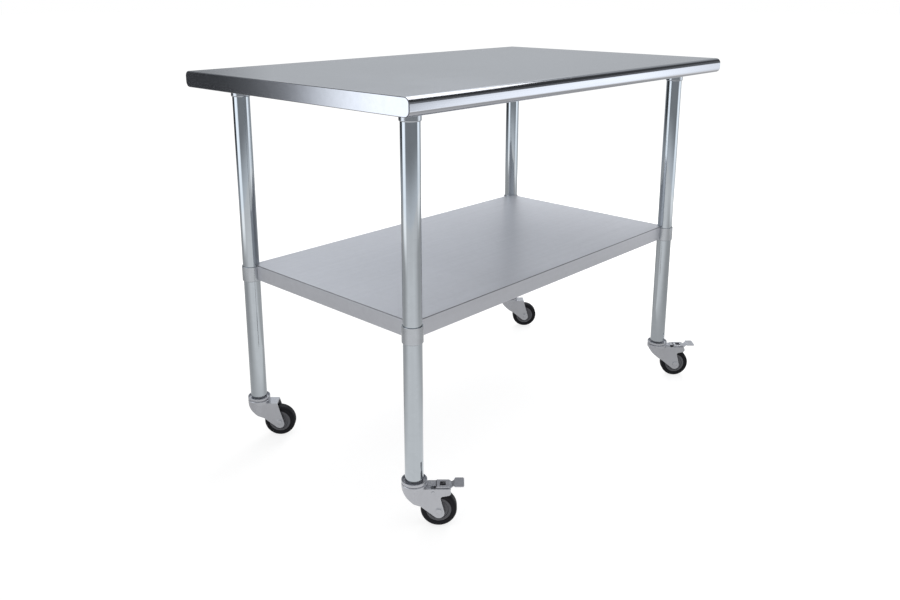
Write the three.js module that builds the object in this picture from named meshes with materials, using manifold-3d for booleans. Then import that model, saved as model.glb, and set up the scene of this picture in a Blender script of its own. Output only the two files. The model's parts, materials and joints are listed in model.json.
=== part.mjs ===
import * as THREE from 'three';
import { mergeVertices } from 'three/addons/utils/BufferGeometryUtils.js';
import Module from 'manifold-3d';

// A work table on swivel casters: a folded sheet worktop with rolled long edges, four round tube legs,
// a sheet undershelf that slides on the legs, and four stem casters, the two at the front with brakes.
// Millimetres, +Z up. The origin is on the floor under the middle of the worktop. The front is -Y.

const wasm = await Module();
wasm.setup();

// Fits shared by all the pieces
const SEAT_GAP = 0.3;
const SLIDE_GAP = 0.4;
const CUT_OVERRUN = 5;

// Round pieces are drawn with this many flats
const TYRE_STEPS = 32;
const LEG_STEPS = 24;
const ROUND_STEPS = 20;
const SMALL_STEPS = 12;
const BEND_STEPS = 5;

// Worktop
const TOP_LENGTH = 1219;
const TOP_DEPTH = 762;
const TOP_HEIGHT = 956;
const TOP_THICKNESS = 38.1;
const TOP_SHEET = 1.2;
const ROLL_RADIUS = 13;
const TOP_LIP = 24;

// Hat channels welded under the worktop
const CHANNEL_WIDTH = 64;
const CHANNEL_DEPTH = 25;
const CHANNEL_LIP = 14;
const CHANNEL_SHEET = 1.5;
const CHANNEL_MARGIN = 30;

// Legs
const LEG_DIAMETER = 41.3;
const LEG_WALL = 1.5;
const LEG_INSET = 90.5;

// Sockets that hold the legs under the worktop
const SOCKET_WALL = 2;
const SOCKET_DROP = 23;
const SOCKET_CHAMFER = 2;
const SOCKET_FLANGE_DIAMETER = 78;
const SOCKET_FLANGE = 3;
const SOCKET_SCREW_RISE = 9;

// Set screws
const SCREW_DIAMETER = 6;
const SCREW_LENGTH = 10;
const KEY_WIDTH = 3;
const KEY_DEPTH = 3;
const KEY_SIDES = 6;

// Undershelf
const SHELF_HEIGHT = 471.7;
const SHELF_SHEET = 1.2;
const SHELF_FLANGE = 39;
const SHELF_LIP = 12;
const SHELF_INSET = 2;
const SHELF_CHANNEL_WIDTH = 60;
const SHELF_CHANNEL_DEPTH = 20;
const SHELF_CHANNEL_LIP = 12;
const SHELF_CHANNEL_MARGIN = 12;

// Corner sockets that clamp the undershelf to the legs
const RING_WALL = 2.2;
const RING_STEP = 3.4;
const RING_DROP = 3;
const RING_CHAMFER = 1.5;
const WING_LENGTH = 40;
const WING_SHEET = 2;
const WING_MARGIN = 3;
const BOSS_DIAMETER = 14;
const BOSS_REACH = 5;

// Caster wheel
const WHEEL_DIAMETER = 80;
const TYRE_WIDTH = 28;
const TYRE_SHOULDER = 3;
const TYRE_TREAD = 18;
const TYRE_SIDE_DRAW = 1;
const CORE_DIAMETER = 56;
const CORE_WIDTH = 25;
const CORE_DISH = 1.6;
const CORE_RIM = 6.5;
const HUB_DIAMETER = 22;
const HUB_WIDTH = 30.4;

// Axle
const AXLE_DIAMETER = 8;
const AXLE_HEAD_DIAMETER = 13;
const AXLE_HEAD = 1.6;
const SLEEVE_WALL = 2;

// Caster fork, measured from the swivel axis along the trail
const CASTER_TURN_DEG = -47;
const TRAIL = 53.3;
const FORK_GAP = 32;
const FORK_SHEET = 2.5;
const CROWN_DIAMETER = 57;
const CROWN_CLEARANCE = 13.5;
const CROWN_RISE = 8;
const CROWN_CHAMFER = 1.5;
const TAPER_LENGTH = 14;
const TIP_RADIUS = 12.6;
const TIP_DROP = 4.5;
const CHEEK_BOSS_DIAMETER = 17;
const CHEEK_BOSS = 0.8;

// Swivel cup and stem
const KINGPIN_DIAMETER = 12;
const KINGPIN_HEAD_DIAMETER = 20;
const KINGPIN_HEAD = 3;
const CUP_SHEET = 2;
const CUP_HEIGHT = 7.2;
const CUP_FLARE = 1.5;
const COLLAR_INSET = 0.8;
const LEG_STAND = 4;
const PLUG_LENGTH = 50;

// Brake, with its places along the trail measured ahead of the axle or behind it
const BRAKE_PRESS_DEG = 9;
const BRAKE_PIN_AHEAD = 12.3;
const BRAKE_PIN_DROP = 8.5;
const BRAKE_PIN_DIAMETER = 5;
const BRAKE_PIN_HEAD_DIAMETER = 7.5;
const BRAKE_PIN_HEAD = 0.9;
const PEDAL_SHEET = 1.8;
const PEDAL_SIDE_GAP = 1.2;
const PEDAL_RISE = 3.1;
const PEDAL_AHEAD = 4.3;
const PEDAL_BEND_BEHIND = 22.7;
const PEDAL_HEEL_LENGTH = 4;
const PEDAL_HEEL_DROP = 0.5;
const NECK_LENGTH = 9;
const NECK_HALF_WIDTH = 11;
const PAD_LENGTH = 20;
const PAD_RISE = 6.2;
const PAD_HALF_WIDTH = 18;
const PAD_CORNER = 4;
const EAR_RADIUS = 4.5;
const EAR_BEHIND = 20.7;
const EAR_DROP = 5;
const WINDOW_BEHIND = 2.7;
const WINDOW_LENGTH = 13;
const WINDOW_HALF_WIDTH = 8;
const SHOE_ANGLE_DEG = 62;
const SHOE_LENGTH = 12;
const SHOE_SHEET = 2;
const SHOE_HALF_WIDTH = 10;

// Brake leaf spring, from its tip in front of the pedal back to its foot on the fork
const SPRING_SHEET = 1.2;
const SPRING_HALF_WIDTH = 10;
const SPRING_TIP_GAP = 2;
const SPRING_TIP_LENGTH = 1.5;
const SPRING_HUMP_LENGTH = 6;
const SPRING_SLOPE_LENGTH = 3.5;
const SPRING_FOOT_LENGTH = 6;
const SPRING_FOOT_MARGIN = 1.5;
const SPRING_RISE = 3.6;
const SPRING_TIP_DROP = 2.4;
const SPRING_RIVET_DIAMETER = 4;
const SPRING_RIVET_HEAD_DIAMETER = 6;
const SPRING_RIVET_HEAD = 0.8;

// Points of the fork's side outline, as shares of the trail and of the cheek's height
const NOSE_SHARES = [-0.52, 0.975];
const NOSE_PULL_SHARES = [-0.4, 0.84];
const ELBOW_SHARES = [-0.2, 0.763];
const PLAIN_BACK_SHARE = 0.934;
const NOTCH_SHARES = [1.083, 0.745];
const NOTCH_PULL_SHARES = [1.088, 0.796];
const NOTCH_END_SHARES = [1.16, 0.806];
const HORN_FOOT_SHARES = [1.4, 0.832];
const HORN_PULL_SHARES = [1.54, 0.86];
const HORN_BACK_SHARES = [1.5, 0.945];
const HORN_TOP_SHARE = 1.452;

// Sizes that follow from the ones above
const LEG_RADIUS = LEG_DIAMETER / 2;
const LEG_X = TOP_LENGTH / 2 - LEG_INSET;
const LEG_Y = TOP_DEPTH / 2 - LEG_INSET;
const TOP_UNDERSIDE = TOP_HEIGHT - TOP_SHEET;
const RIM_FOOT = TOP_HEIGHT - TOP_THICKNESS;
const CHANNEL_TOP = TOP_UNDERSIDE - SEAT_GAP;
const CHANNEL_FOOT = CHANNEL_TOP - CHANNEL_DEPTH;
const SOCKET_TOP = CHANNEL_FOOT - SEAT_GAP;
const SOCKET_FOOT = RIM_FOOT - SOCKET_DROP;
const LEG_TOP = SOCKET_TOP - SOCKET_FLANGE - SEAT_GAP;
const SOCKET_BORE = LEG_RADIUS + SEAT_GAP;
const SOCKET_RADIUS = SOCKET_BORE + SOCKET_WALL;

const SHELF_X = LEG_X - SHELF_INSET;
const SHELF_Y = LEG_Y - SHELF_INSET;
const SHELF_UNDERSIDE = SHELF_HEIGHT - SHELF_SHEET;
const SHELF_FOOT = SHELF_HEIGHT - SHELF_FLANGE;
const RING_TOP = SHELF_HEIGHT - RING_STEP;
const RING_FOOT = SHELF_FOOT - RING_DROP;
const RING_BORE = LEG_RADIUS + SLIDE_GAP;
const RING_RADIUS = RING_BORE + RING_WALL;
const SHELF_SCREW_Z = (SHELF_HEIGHT + SHELF_FOOT) / 2;

const WHEEL_RADIUS = WHEEL_DIAMETER / 2;
const CHEEK_TOP = WHEEL_DIAMETER + CROWN_CLEARANCE;
const CHEEK_INSIDE = FORK_GAP / 2;
const CHEEK_OUTSIDE = CHEEK_INSIDE + FORK_SHEET;
const CROWN_RADIUS = CROWN_DIAMETER / 2;
const CROWN_TOP = CHEEK_TOP + CROWN_RISE;
const CUP_FOOT = CROWN_TOP + SEAT_GAP;
const CUP_TOP = CUP_FOOT + CUP_HEIGHT;
const LEG_FOOT = CUP_TOP + LEG_STAND;
const KINGPIN_RADIUS = KINGPIN_DIAMETER / 2;
const KINGPIN_BORE = KINGPIN_RADIUS + SLIDE_GAP;
const AXLE_BORE = AXLE_DIAMETER / 2 + SEAT_GAP;
const SLEEVE_RADIUS = AXLE_BORE + SLEEVE_WALL;
const BRAKE_PIN_Z = CHEEK_TOP - BRAKE_PIN_DROP;
const BRAKE_PIN_BORE = BRAKE_PIN_DIAMETER / 2 + SEAT_GAP;
const BRAKE_PIN_X = TRAIL - BRAKE_PIN_AHEAD;
const PEDAL_HALF_WIDTH = CHEEK_INSIDE - PEDAL_SIDE_GAP;
const PEDAL_FRONT = TRAIL - PEDAL_AHEAD;
const PEDAL_BEND = TRAIL + PEDAL_BEND_BEHIND;
const PEDAL_HEEL = PEDAL_BEND + PEDAL_HEEL_LENGTH;
const PAD_FRONT = PEDAL_HEEL + NECK_LENGTH;
const PAD_BACK = PAD_FRONT + PAD_LENGTH;
const SPRING_TIP = PEDAL_FRONT - SPRING_TIP_GAP;
const SPRING_HUMP_BACK = SPRING_TIP - SPRING_TIP_LENGTH;
const SPRING_HUMP_FRONT = SPRING_HUMP_BACK - SPRING_HUMP_LENGTH;
const SPRING_FOOT_BACK = SPRING_HUMP_FRONT - SPRING_SLOPE_LENGTH;
const SPRING_FRONT = SPRING_FOOT_BACK - SPRING_FOOT_LENGTH;
const SPRING_RIVET_X = (SPRING_FRONT + SPRING_FOOT_BACK) / 2;

// Turns, in degrees: a bar laid level, and then swung half way between +X and +Y
const LEVEL_DEG = 90;
const INWARD_DEG = 45;

// Which way each corner lies from the middle, how far its inward side is turned, and its caster's kind
const CORNERS = [
  { name: 'front_left', x: -1, y: -1, turn: 0, braked: true },
  { name: 'front_right', x: 1, y: -1, turn: Math.PI / 2, braked: true },
  { name: 'rear_right', x: 1, y: 1, turn: Math.PI, braked: false },
  { name: 'rear_left', x: -1, y: 1, turn: -Math.PI / 2, braked: false },
];

// Finishes
const FINISHES = {
  stainless: { color: 0xb9bcc1, roughness: 0.32, metalness: 0.95 },
  galvanised: { color: 0xb4bcc4, roughness: 0.38, metalness: 0.9 },
  shelfSheet: { color: 0xaeb2b8, roughness: 0.45, metalness: 0.85 },
  cast: { color: 0xa9acb1, roughness: 0.45, metalness: 0.8 },
  zinc: { color: 0xc3c6c8, roughness: 0.25, metalness: 0.95 },
  steel: { color: 0x8f9397, roughness: 0.3, metalness: 0.95 },
  core: { color: 0x55565c, roughness: 0.6, metalness: 0 },
  tyre: { color: 0x1d1d20, roughness: 0.75, metalness: 0 },
};

// Solids: closed meshes that can be joined and cut

function toSolid(geometry) {
  const bare = geometry.index ? geometry.clone() : geometry;
  bare.deleteAttribute('normal');
  bare.deleteAttribute('uv');
  const merged = mergeVertices(bare);
  const corners = merged.index.array;
  const kept = [];
  for (let i = 0; i < corners.length; i += 3) {
    const [a, b, c] = [corners[i], corners[i + 1], corners[i + 2]];
    if (a !== b && b !== c && c !== a) kept.push(a, b, c);
  }
  return new wasm.Manifold(new wasm.Mesh({
    numProp: 3,
    vertProperties: new Float32Array(merged.attributes.position.array),
    triVerts: new Uint32Array(kept),
  }));
}

function toGeometry(solid) {
  const mesh = solid.getMesh();
  const geometry = new THREE.BufferGeometry();
  geometry.setAttribute('position', new THREE.BufferAttribute(new Float32Array(mesh.vertProperties), 3));
  geometry.setIndex(new THREE.BufferAttribute(new Uint32Array(mesh.triVerts), 1));
  geometry.computeVertexNormals();
  return geometry;
}

function unite(solids) {
  return solids.reduce((all, solid) => all.add(solid));
}

function box(low, high) {
  const size = low.map((value, i) => high[i] - value);
  const middle = low.map((value, i) => (high[i] + value) / 2);
  return toSolid(new THREE.BoxGeometry(...size).translate(...middle));
}

// An outline turned round the Z axis; its points are [radius, height] and run up the outside
function turned(points, steps, phase = 0) {
  const outline = points.map(([r, z]) => new THREE.Vector2(r, z));
  return toSolid(new THREE.LatheGeometry(outline, steps, phase).rotateX(Math.PI / 2));
}

// The same outline turned round the Y axis
function turnedOnY(points, steps, phase = 0) {
  const outline = points.map(([r, y]) => new THREE.Vector2(r, y));
  return toSolid(new THREE.LatheGeometry(outline, steps, phase));
}

function closed(points) {
  return [...points, points[0]];
}

function polygon(points) {
  return new THREE.Shape(points.map(([x, y]) => new THREE.Vector2(x, y)));
}

function extrude(shape, depth, steps = BEND_STEPS) {
  return new THREE.ExtrudeGeometry(shape, { depth, bevelEnabled: false, curveSegments: steps });
}

// A shape in X and Y, pulled up from one height to another
function pulledUp(shape, low, high, steps) {
  return toSolid(extrude(shape, high - low, steps).translate(0, 0, low));
}

// A shape in Y and Z, pulled along X from -half to +half
function pulledAlongX(shape, half) {
  const turn = new THREE.Matrix4().makeBasis(
    new THREE.Vector3(0, 1, 0), new THREE.Vector3(0, 0, 1), new THREE.Vector3(1, 0, 0));
  return toSolid(extrude(shape, 2 * half).translate(0, 0, -half).applyMatrix4(turn));
}

// A shape in X and Z, pulled along Y from -half to +half
function pulledAlongY(shape, half) {
  const turn = new THREE.Matrix4().makeBasis(
    new THREE.Vector3(1, 0, 0), new THREE.Vector3(0, 0, 1), new THREE.Vector3(0, -1, 0));
  return toSolid(extrude(shape, 2 * half).translate(0, 0, -half).applyMatrix4(turn));
}

// A round bar along Z, Y, or level along the direction between X and Y that faces inward
function barZ(radius, low, high, steps) {
  return turned([[0, low], [radius, low], [radius, high], [0, high]], steps);
}

function barY(radius, half, steps) {
  return turnedOnY([[0, -half], [radius, -half], [radius, half], [0, half]], steps);
}

function placed(solid, x, y, z) {
  return solid.translate([x, y, z]);
}

function barInward(radius, near, far, z, steps) {
  const bar = barZ(radius, near, far, steps);
  return placed(bar.rotate([0, LEVEL_DEG, 0]).rotate([0, 0, INWARD_DEG]), 0, 0, z);
}

function roundedRectangle(halfWidth, low, high, radius) {
  const shape = new THREE.Shape();
  shape.absarc(halfWidth - radius, low + radius, radius, -Math.PI / 2, 0, false);
  shape.absarc(halfWidth - radius, high - radius, radius, 0, Math.PI / 2, false);
  shape.absarc(-halfWidth + radius, high - radius, radius, Math.PI / 2, Math.PI, false);
  shape.absarc(-halfWidth + radius, low + radius, radius, Math.PI, 1.5 * Math.PI, false);
  return shape;
}

// The outline of a bent strip: a line of [x, z] points thickened to both sides, mitred at its bends
function bentStrip(points, thickness) {
  const side = (sign) => points.map(([x, z], i) => {
    const before = points[Math.max(i - 1, 0)];
    const after = points[Math.min(i + 1, points.length - 1)];
    const arrive = Math.atan2(z - before[1], x - before[0]);
    const leave = Math.atan2(after[1] - z, after[0] - x);
    const first = i === 0 ? leave : arrive;
    const last = i === points.length - 1 ? arrive : leave;
    const middle = (first + last) / 2 + Math.PI / 2;
    const reach = sign * thickness / 2 / Math.cos((last - first) / 2);
    return [x + reach * Math.cos(middle), z + reach * Math.sin(middle)];
  });
  return polygon([...side(1), ...side(-1).reverse()]);
}

// Worktop

function makeWorktop() {
  const halfDepth = TOP_DEPTH / 2;
  const halfLength = TOP_LENGTH / 2;
  const outside = pulledAlongX(roundedRectangle(halfDepth, RIM_FOOT, TOP_HEIGHT, ROLL_RADIUS), halfLength);
  const inside = pulledAlongX(
    roundedRectangle(
      halfDepth - TOP_SHEET, RIM_FOOT + TOP_SHEET, TOP_UNDERSIDE, ROLL_RADIUS - TOP_SHEET),
    halfLength - TOP_SHEET);
  const mouth = box(
    [-halfLength + TOP_LIP, -halfDepth + TOP_LIP, RIM_FOOT - CUT_OVERRUN],
    [halfLength - TOP_LIP, halfDepth - TOP_LIP, RIM_FOOT + TOP_THICKNESS / 2]);
  return outside.subtract(inside).subtract(mouth);
}

// A hat section seen along its length: its lips are up against the sheet that it stiffens
function hatOutline(width, depth, lip, sheet, top) {
  const half = width / 2;
  return polygon([
    [-half - lip, top], [-half - lip, top - sheet], [-half, top - sheet], [-half, top - depth],
    [half, top - depth], [half, top - sheet], [half + lip, top - sheet], [half + lip, top],
    [half - sheet, top], [half - sheet, top - depth + sheet],
    [-half + sheet, top - depth + sheet], [-half + sheet, top],
  ]);
}

function makeEndChannel() {
  const outline = hatOutline(CHANNEL_WIDTH, CHANNEL_DEPTH, CHANNEL_LIP, CHANNEL_SHEET, CHANNEL_TOP);
  return pulledAlongY(outline, TOP_DEPTH / 2 - CHANNEL_MARGIN);
}

function makeCentreChannel() {
  const outline = hatOutline(CHANNEL_WIDTH, CHANNEL_DEPTH, CHANNEL_LIP, CHANNEL_SHEET, CHANNEL_TOP);
  return pulledAlongX(outline, LEG_X - CHANNEL_WIDTH / 2 - CHANNEL_LIP - SEAT_GAP);
}

// Legs and their sockets

function makeLeg() {
  const bore = LEG_RADIUS - LEG_WALL;
  return turned(closed([
    [bore, LEG_FOOT], [LEG_RADIUS, LEG_FOOT], [LEG_RADIUS, LEG_TOP], [bore, LEG_TOP],
  ]), LEG_STEPS);
}

function makeLegSocket() {
  const flangeFoot = SOCKET_TOP - SOCKET_FLANGE;
  const cup = turned([
    [0, flangeFoot], [SOCKET_BORE, flangeFoot], [SOCKET_BORE, SOCKET_FOOT],
    [SOCKET_RADIUS - SOCKET_CHAMFER / 2, SOCKET_FOOT], [SOCKET_RADIUS, SOCKET_FOOT + SOCKET_CHAMFER],
    [SOCKET_RADIUS, flangeFoot], [SOCKET_FLANGE_DIAMETER / 2, flangeFoot],
    [SOCKET_FLANGE_DIAMETER / 2, SOCKET_TOP], [0, SOCKET_TOP],
  ], LEG_STEPS);
  const bore = barInward(
    SCREW_DIAMETER / 2 + SEAT_GAP, LEG_RADIUS / 2, SOCKET_RADIUS + CUT_OVERRUN,
    SOCKET_FOOT + SOCKET_SCREW_RISE, SMALL_STEPS);
  return cup.subtract(bore);
}

// A headless screw that bears on the leg, with a six-sided key hole in its outer end
function makeSetScrew(z) {
  const tip = LEG_RADIUS + SEAT_GAP;
  const end = tip + SCREW_LENGTH;
  const shank = barInward(SCREW_DIAMETER / 2, tip, end, z, SMALL_STEPS);
  const key = barInward(KEY_WIDTH / 2, end - KEY_DEPTH, end + CUT_OVERRUN, z, KEY_SIDES);
  return shank.subtract(key);
}

// Undershelf

function makeUndershelf() {
  const outside = box([-SHELF_X, -SHELF_Y, SHELF_FOOT], [SHELF_X, SHELF_Y, SHELF_HEIGHT]);
  const wall = [SHELF_X - SHELF_SHEET, SHELF_Y - SHELF_SHEET];
  const inside = box(
    [-wall[0], -wall[1], SHELF_FOOT + SHELF_SHEET], [wall[0], wall[1], SHELF_UNDERSIDE]);
  const mouth = box(
    [-SHELF_X + SHELF_LIP, -SHELF_Y + SHELF_LIP, SHELF_FOOT - CUT_OVERRUN],
    [SHELF_X - SHELF_LIP, SHELF_Y - SHELF_LIP, SHELF_FOOT + SHELF_FLANGE / 2]);
  let shelf = outside.subtract(inside).subtract(mouth);
  for (const { x, y } of CORNERS) {
    const leg = barZ(
      RING_BORE, SHELF_FOOT - CUT_OVERRUN, SHELF_HEIGHT + CUT_OVERRUN, LEG_STEPS);
    const ring = barZ(
      RING_RADIUS + SEAT_GAP, SHELF_FOOT - CUT_OVERRUN, RING_TOP + SEAT_GAP, LEG_STEPS);
    shelf = shelf.subtract(placed(leg.add(ring), x * LEG_X, y * LEG_Y, 0));
  }
  return shelf;
}

function makeShelfChannel() {
  const outline = hatOutline(
    SHELF_CHANNEL_WIDTH, SHELF_CHANNEL_DEPTH, SHELF_CHANNEL_LIP, CHANNEL_SHEET,
    SHELF_UNDERSIDE - SEAT_GAP);
  return pulledAlongX(outline, SHELF_X - SHELF_SHEET - SHELF_CHANNEL_MARGIN);
}

// A ring round the leg with two wings behind the flanges; +X and +Y point inward here
function makeShelfSocket() {
  const ring = turned(closed([
    [RING_BORE, RING_FOOT], [RING_RADIUS - RING_CHAMFER, RING_FOOT],
    [RING_RADIUS, RING_FOOT + RING_CHAMFER], [RING_RADIUS, RING_TOP], [RING_BORE, RING_TOP],
  ]), LEG_STEPS);
  const low = SHELF_FOOT + SHELF_SHEET + WING_MARGIN;
  const high = SHELF_UNDERSIDE - WING_MARGIN;
  const face = SHELF_INSET + SHELF_SHEET + SEAT_GAP;
  const reach = RING_RADIUS + WING_LENGTH;
  const wingX = box([LEG_RADIUS, face, low], [reach, face + WING_SHEET, high]);
  const wingY = box([face, LEG_RADIUS, low], [face + WING_SHEET, reach, high]);
  const boss = barInward(
    BOSS_DIAMETER / 2, LEG_RADIUS, RING_RADIUS + BOSS_REACH, SHELF_SCREW_Z, SMALL_STEPS);
  const bore = barZ(RING_BORE, RING_FOOT - CUT_OVERRUN, RING_TOP + CUT_OVERRUN, LEG_STEPS);
  const screwBore = barInward(
    SCREW_DIAMETER / 2 + SEAT_GAP, LEG_RADIUS / 2, reach, SHELF_SCREW_Z, SMALL_STEPS);
  return unite([ring, wingX, wingY, boss]).subtract(bore).subtract(screwBore);
}

// Stem and swivel cup

// The plug fills the leg's end, which stands on the collar
function makeCasterStem() {
  const plug = LEG_RADIUS - LEG_WALL - SEAT_GAP;
  const collar = LEG_RADIUS - COLLAR_INSET;
  const head = CROWN_TOP - FORK_SHEET - SEAT_GAP;
  const collarFoot = CUP_FOOT + CUP_SHEET + SEAT_GAP;
  const plugTop = LEG_FOOT + PLUG_LENGTH;
  return turned([
    [0, head - KINGPIN_HEAD], [KINGPIN_HEAD_DIAMETER / 2, head - KINGPIN_HEAD],
    [KINGPIN_HEAD_DIAMETER / 2, head], [KINGPIN_RADIUS, head], [KINGPIN_RADIUS, collarFoot],
    [collar, collarFoot], [collar, LEG_FOOT - SEAT_GAP],
    [plug, LEG_FOOT - SEAT_GAP], [plug, plugTop], [0, plugTop],
  ], ROUND_STEPS);
}

// A shallow dish whose rim stands up round the stem
function makeSwivelCup() {
  const rim = CROWN_RADIUS;
  return turned(closed([
    [KINGPIN_BORE, CUP_FOOT], [rim - CUP_FLARE, CUP_FOOT], [rim, CUP_FOOT + CUP_FLARE],
    [rim, CUP_TOP], [rim - CUP_SHEET, CUP_TOP],
    [rim - CUP_SHEET - CUP_FLARE, CUP_FOOT + CUP_SHEET], [KINGPIN_BORE, CUP_FOOT + CUP_SHEET],
  ]), ROUND_STEPS);
}

// Fork

// Seen from above: round at the front, drawn in to two flat cheeks behind
function forkPlan(inset) {
  const radius = CROWN_RADIUS - inset;
  const halfWidth = CHEEK_OUTSIDE - inset;
  const back = TRAIL + WHEEL_RADIUS + inset;
  const shape = new THREE.Shape();
  shape.moveTo(back, -halfWidth);
  shape.lineTo(back, halfWidth);
  shape.lineTo(TAPER_LENGTH, halfWidth);
  shape.absarc(0, 0, radius, Math.PI / 2, 1.5 * Math.PI, false);
  shape.lineTo(TAPER_LENGTH, -halfWidth);
  return shape;
}

// The angle on a circle where a straight edge from a point outside meets it smoothly
function tangentAngle(centre, radius, point, side) {
  const [dx, dz] = [point[0] - centre[0], point[1] - centre[1]];
  return Math.atan2(dz, dx) + side * Math.acos(radius / Math.hypot(dx, dz));
}

// Seen from the side: a slanted front edge, a round tip at the axle, and a horn behind on a braked fork
function forkSide(braked) {
  const at = ([back, up]) => [back * TRAIL, up * CHEEK_TOP];
  const tip = [TRAIL, WHEEL_RADIUS - TIP_DROP];
  const elbow = at(ELBOW_SHARES);
  const behind = braked ? at(NOTCH_SHARES) : at([PLAIN_BACK_SHARE, 1]);
  const shape = new THREE.Shape();
  shape.moveTo(-CROWN_RADIUS - CUT_OVERRUN, CHEEK_TOP);
  shape.lineTo(...at(NOSE_SHARES));
  shape.quadraticCurveTo(...at(NOSE_PULL_SHARES), ...elbow);
  shape.absarc(
    ...tip, TIP_RADIUS, tangentAngle(tip, TIP_RADIUS, elbow, 1),
    tangentAngle(tip, TIP_RADIUS, behind, -1), false);
  shape.lineTo(...behind);
  if (braked) {
    shape.quadraticCurveTo(...at(NOTCH_PULL_SHARES), ...at(NOTCH_END_SHARES));
    shape.lineTo(...at(HORN_FOOT_SHARES));
    shape.quadraticCurveTo(...at(HORN_PULL_SHARES), ...at(HORN_BACK_SHARES));
    shape.lineTo(...at([HORN_TOP_SHARE, 1]));
  }
  return shape;
}

function makeFork(braked) {
  const sheetFoot = CHEEK_TOP - FORK_SHEET;
  const half = ROUND_STEPS / 2;
  const block = pulledUp(forkPlan(0), 0, CHEEK_TOP, half)
    .intersect(pulledAlongY(forkSide(braked), CROWN_DIAMETER));
  const crown = turned([
    [0, sheetFoot], [CROWN_RADIUS, sheetFoot], [CROWN_RADIUS, CROWN_TOP - CROWN_CHAMFER],
    [CROWN_RADIUS - CROWN_CHAMFER, CROWN_TOP], [0, CROWN_TOP],
  ], ROUND_STEPS);
  const bosses = placed(
    barY(CHEEK_BOSS_DIAMETER / 2, CHEEK_OUTSIDE + CHEEK_BOSS, SMALL_STEPS), TRAIL, 0, WHEEL_RADIUS);
  const throat = pulledUp(forkPlan(FORK_SHEET), -CUT_OVERRUN, sheetFoot, half);
  const dome = pulledUp(forkPlan(FORK_SHEET), sheetFoot - CUT_OVERRUN, CROWN_TOP - FORK_SHEET, half)
    .intersect(barZ(CROWN_RADIUS - FORK_SHEET, 0, CROWN_TOP, ROUND_STEPS));
  const kingpin = barZ(KINGPIN_BORE, sheetFoot, CROWN_TOP + CUT_OVERRUN, ROUND_STEPS);
  const reach = CHEEK_OUTSIDE + CUT_OVERRUN;
  const axle = placed(barY(AXLE_BORE, reach, SMALL_STEPS), TRAIL, 0, WHEEL_RADIUS);
  const fork = unite([block, crown, bosses])
    .subtract(throat).subtract(dome).subtract(kingpin).subtract(axle);
  return braked ? fork.subtract(brakeCuts(reach)) : fork;
}

// Openings that the brake needs: its slot between the cheeks, its pin and its spring's rivet
function brakeCuts(reach) {
  const slot = box(
    [SPRING_FOOT_BACK + SPRING_FOOT_MARGIN, -CHEEK_INSIDE, CHEEK_TOP - 2 * FORK_SHEET],
    [TRAIL + WHEEL_RADIUS, CHEEK_INSIDE, CHEEK_TOP + CUT_OVERRUN]);
  const pin = placed(barY(BRAKE_PIN_BORE, reach, SMALL_STEPS), BRAKE_PIN_X, 0, BRAKE_PIN_Z);
  const rivet = placed(
    barZ(
      SPRING_RIVET_DIAMETER / 2 + SEAT_GAP, CHEEK_TOP - 2 * FORK_SHEET, CHEEK_TOP + CUT_OVERRUN,
      SMALL_STEPS),
    SPRING_RIVET_X, 0, 0);
  return unite([slot, pin, rivet]);
}

// Wheel, axle and sleeve, about the axle

function makeTyre() {
  const tread = WHEEL_RADIUS / Math.cos(Math.PI / TYRE_STEPS);
  const bore = CORE_DIAMETER / 2;
  const half = TYRE_WIDTH / 2;
  return turnedOnY(closed([
    [bore, -half + TYRE_SIDE_DRAW], [tread - TYRE_SHOULDER, -half], [tread, -TYRE_TREAD / 2],
    [tread, TYRE_TREAD / 2], [tread - TYRE_SHOULDER, half], [bore, half - TYRE_SIDE_DRAW],
  ]), TYRE_STEPS, Math.PI / TYRE_STEPS);
}

function makeCore() {
  const rim = CORE_DIAMETER / 2 - SEAT_GAP;
  const bore = SLEEVE_RADIUS + SLIDE_GAP;
  const half = CORE_WIDTH / 2;
  const face = [
    [rim, half], [rim - CORE_RIM, half], [HUB_DIAMETER / 2, half - CORE_DISH],
    [HUB_DIAMETER / 2, HUB_WIDTH / 2], [bore, HUB_WIDTH / 2],
  ];
  const back = face.map(([r, y]) => [r, -y]).reverse();
  return turnedOnY(closed([...back, ...face]), ROUND_STEPS);
}

function makeAxle() {
  const shaft = AXLE_DIAMETER / 2;
  const seat = CHEEK_OUTSIDE + CHEEK_BOSS + SEAT_GAP;
  const face = [
    [shaft, seat], [AXLE_HEAD_DIAMETER / 2, seat], [shaft, seat + AXLE_HEAD], [0, seat + AXLE_HEAD],
  ];
  const back = face.map(([r, y]) => [r, -y]).reverse();
  return turnedOnY([...back, ...face], SMALL_STEPS);
}

function makeSleeve() {
  const half = CHEEK_INSIDE - SEAT_GAP;
  return turnedOnY(closed([
    [AXLE_BORE, -half], [SLEEVE_RADIUS, -half], [SLEEVE_RADIUS, half], [AXLE_BORE, half],
  ]), SMALL_STEPS);
}

// Brake, drawn in the fork's frame

function turnedBack(solid) {
  const [x, z] = [BRAKE_PIN_X, BRAKE_PIN_Z];
  return placed(placed(solid, -x, 0, -z).rotate([0, -BRAKE_PRESS_DEG, 0]), x, 0, z);
}

// A block that lies flat on the tyre when the pedal is down, swung back to where it rests
function makeShoe() {
  const angle = SHOE_ANGLE_DEG * Math.PI / 180;
  const reach = WHEEL_RADIUS + SEAT_GAP;
  const block = box(
    [reach, -SHOE_HALF_WIDTH, -SHOE_LENGTH / 2], [reach + SHOE_SHEET, SHOE_HALF_WIDTH, SHOE_LENGTH / 2]);
  return turnedBack(placed(block.rotate([0, -SHOE_ANGLE_DEG, 0]), TRAIL, 0, WHEEL_RADIUS));
}

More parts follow.
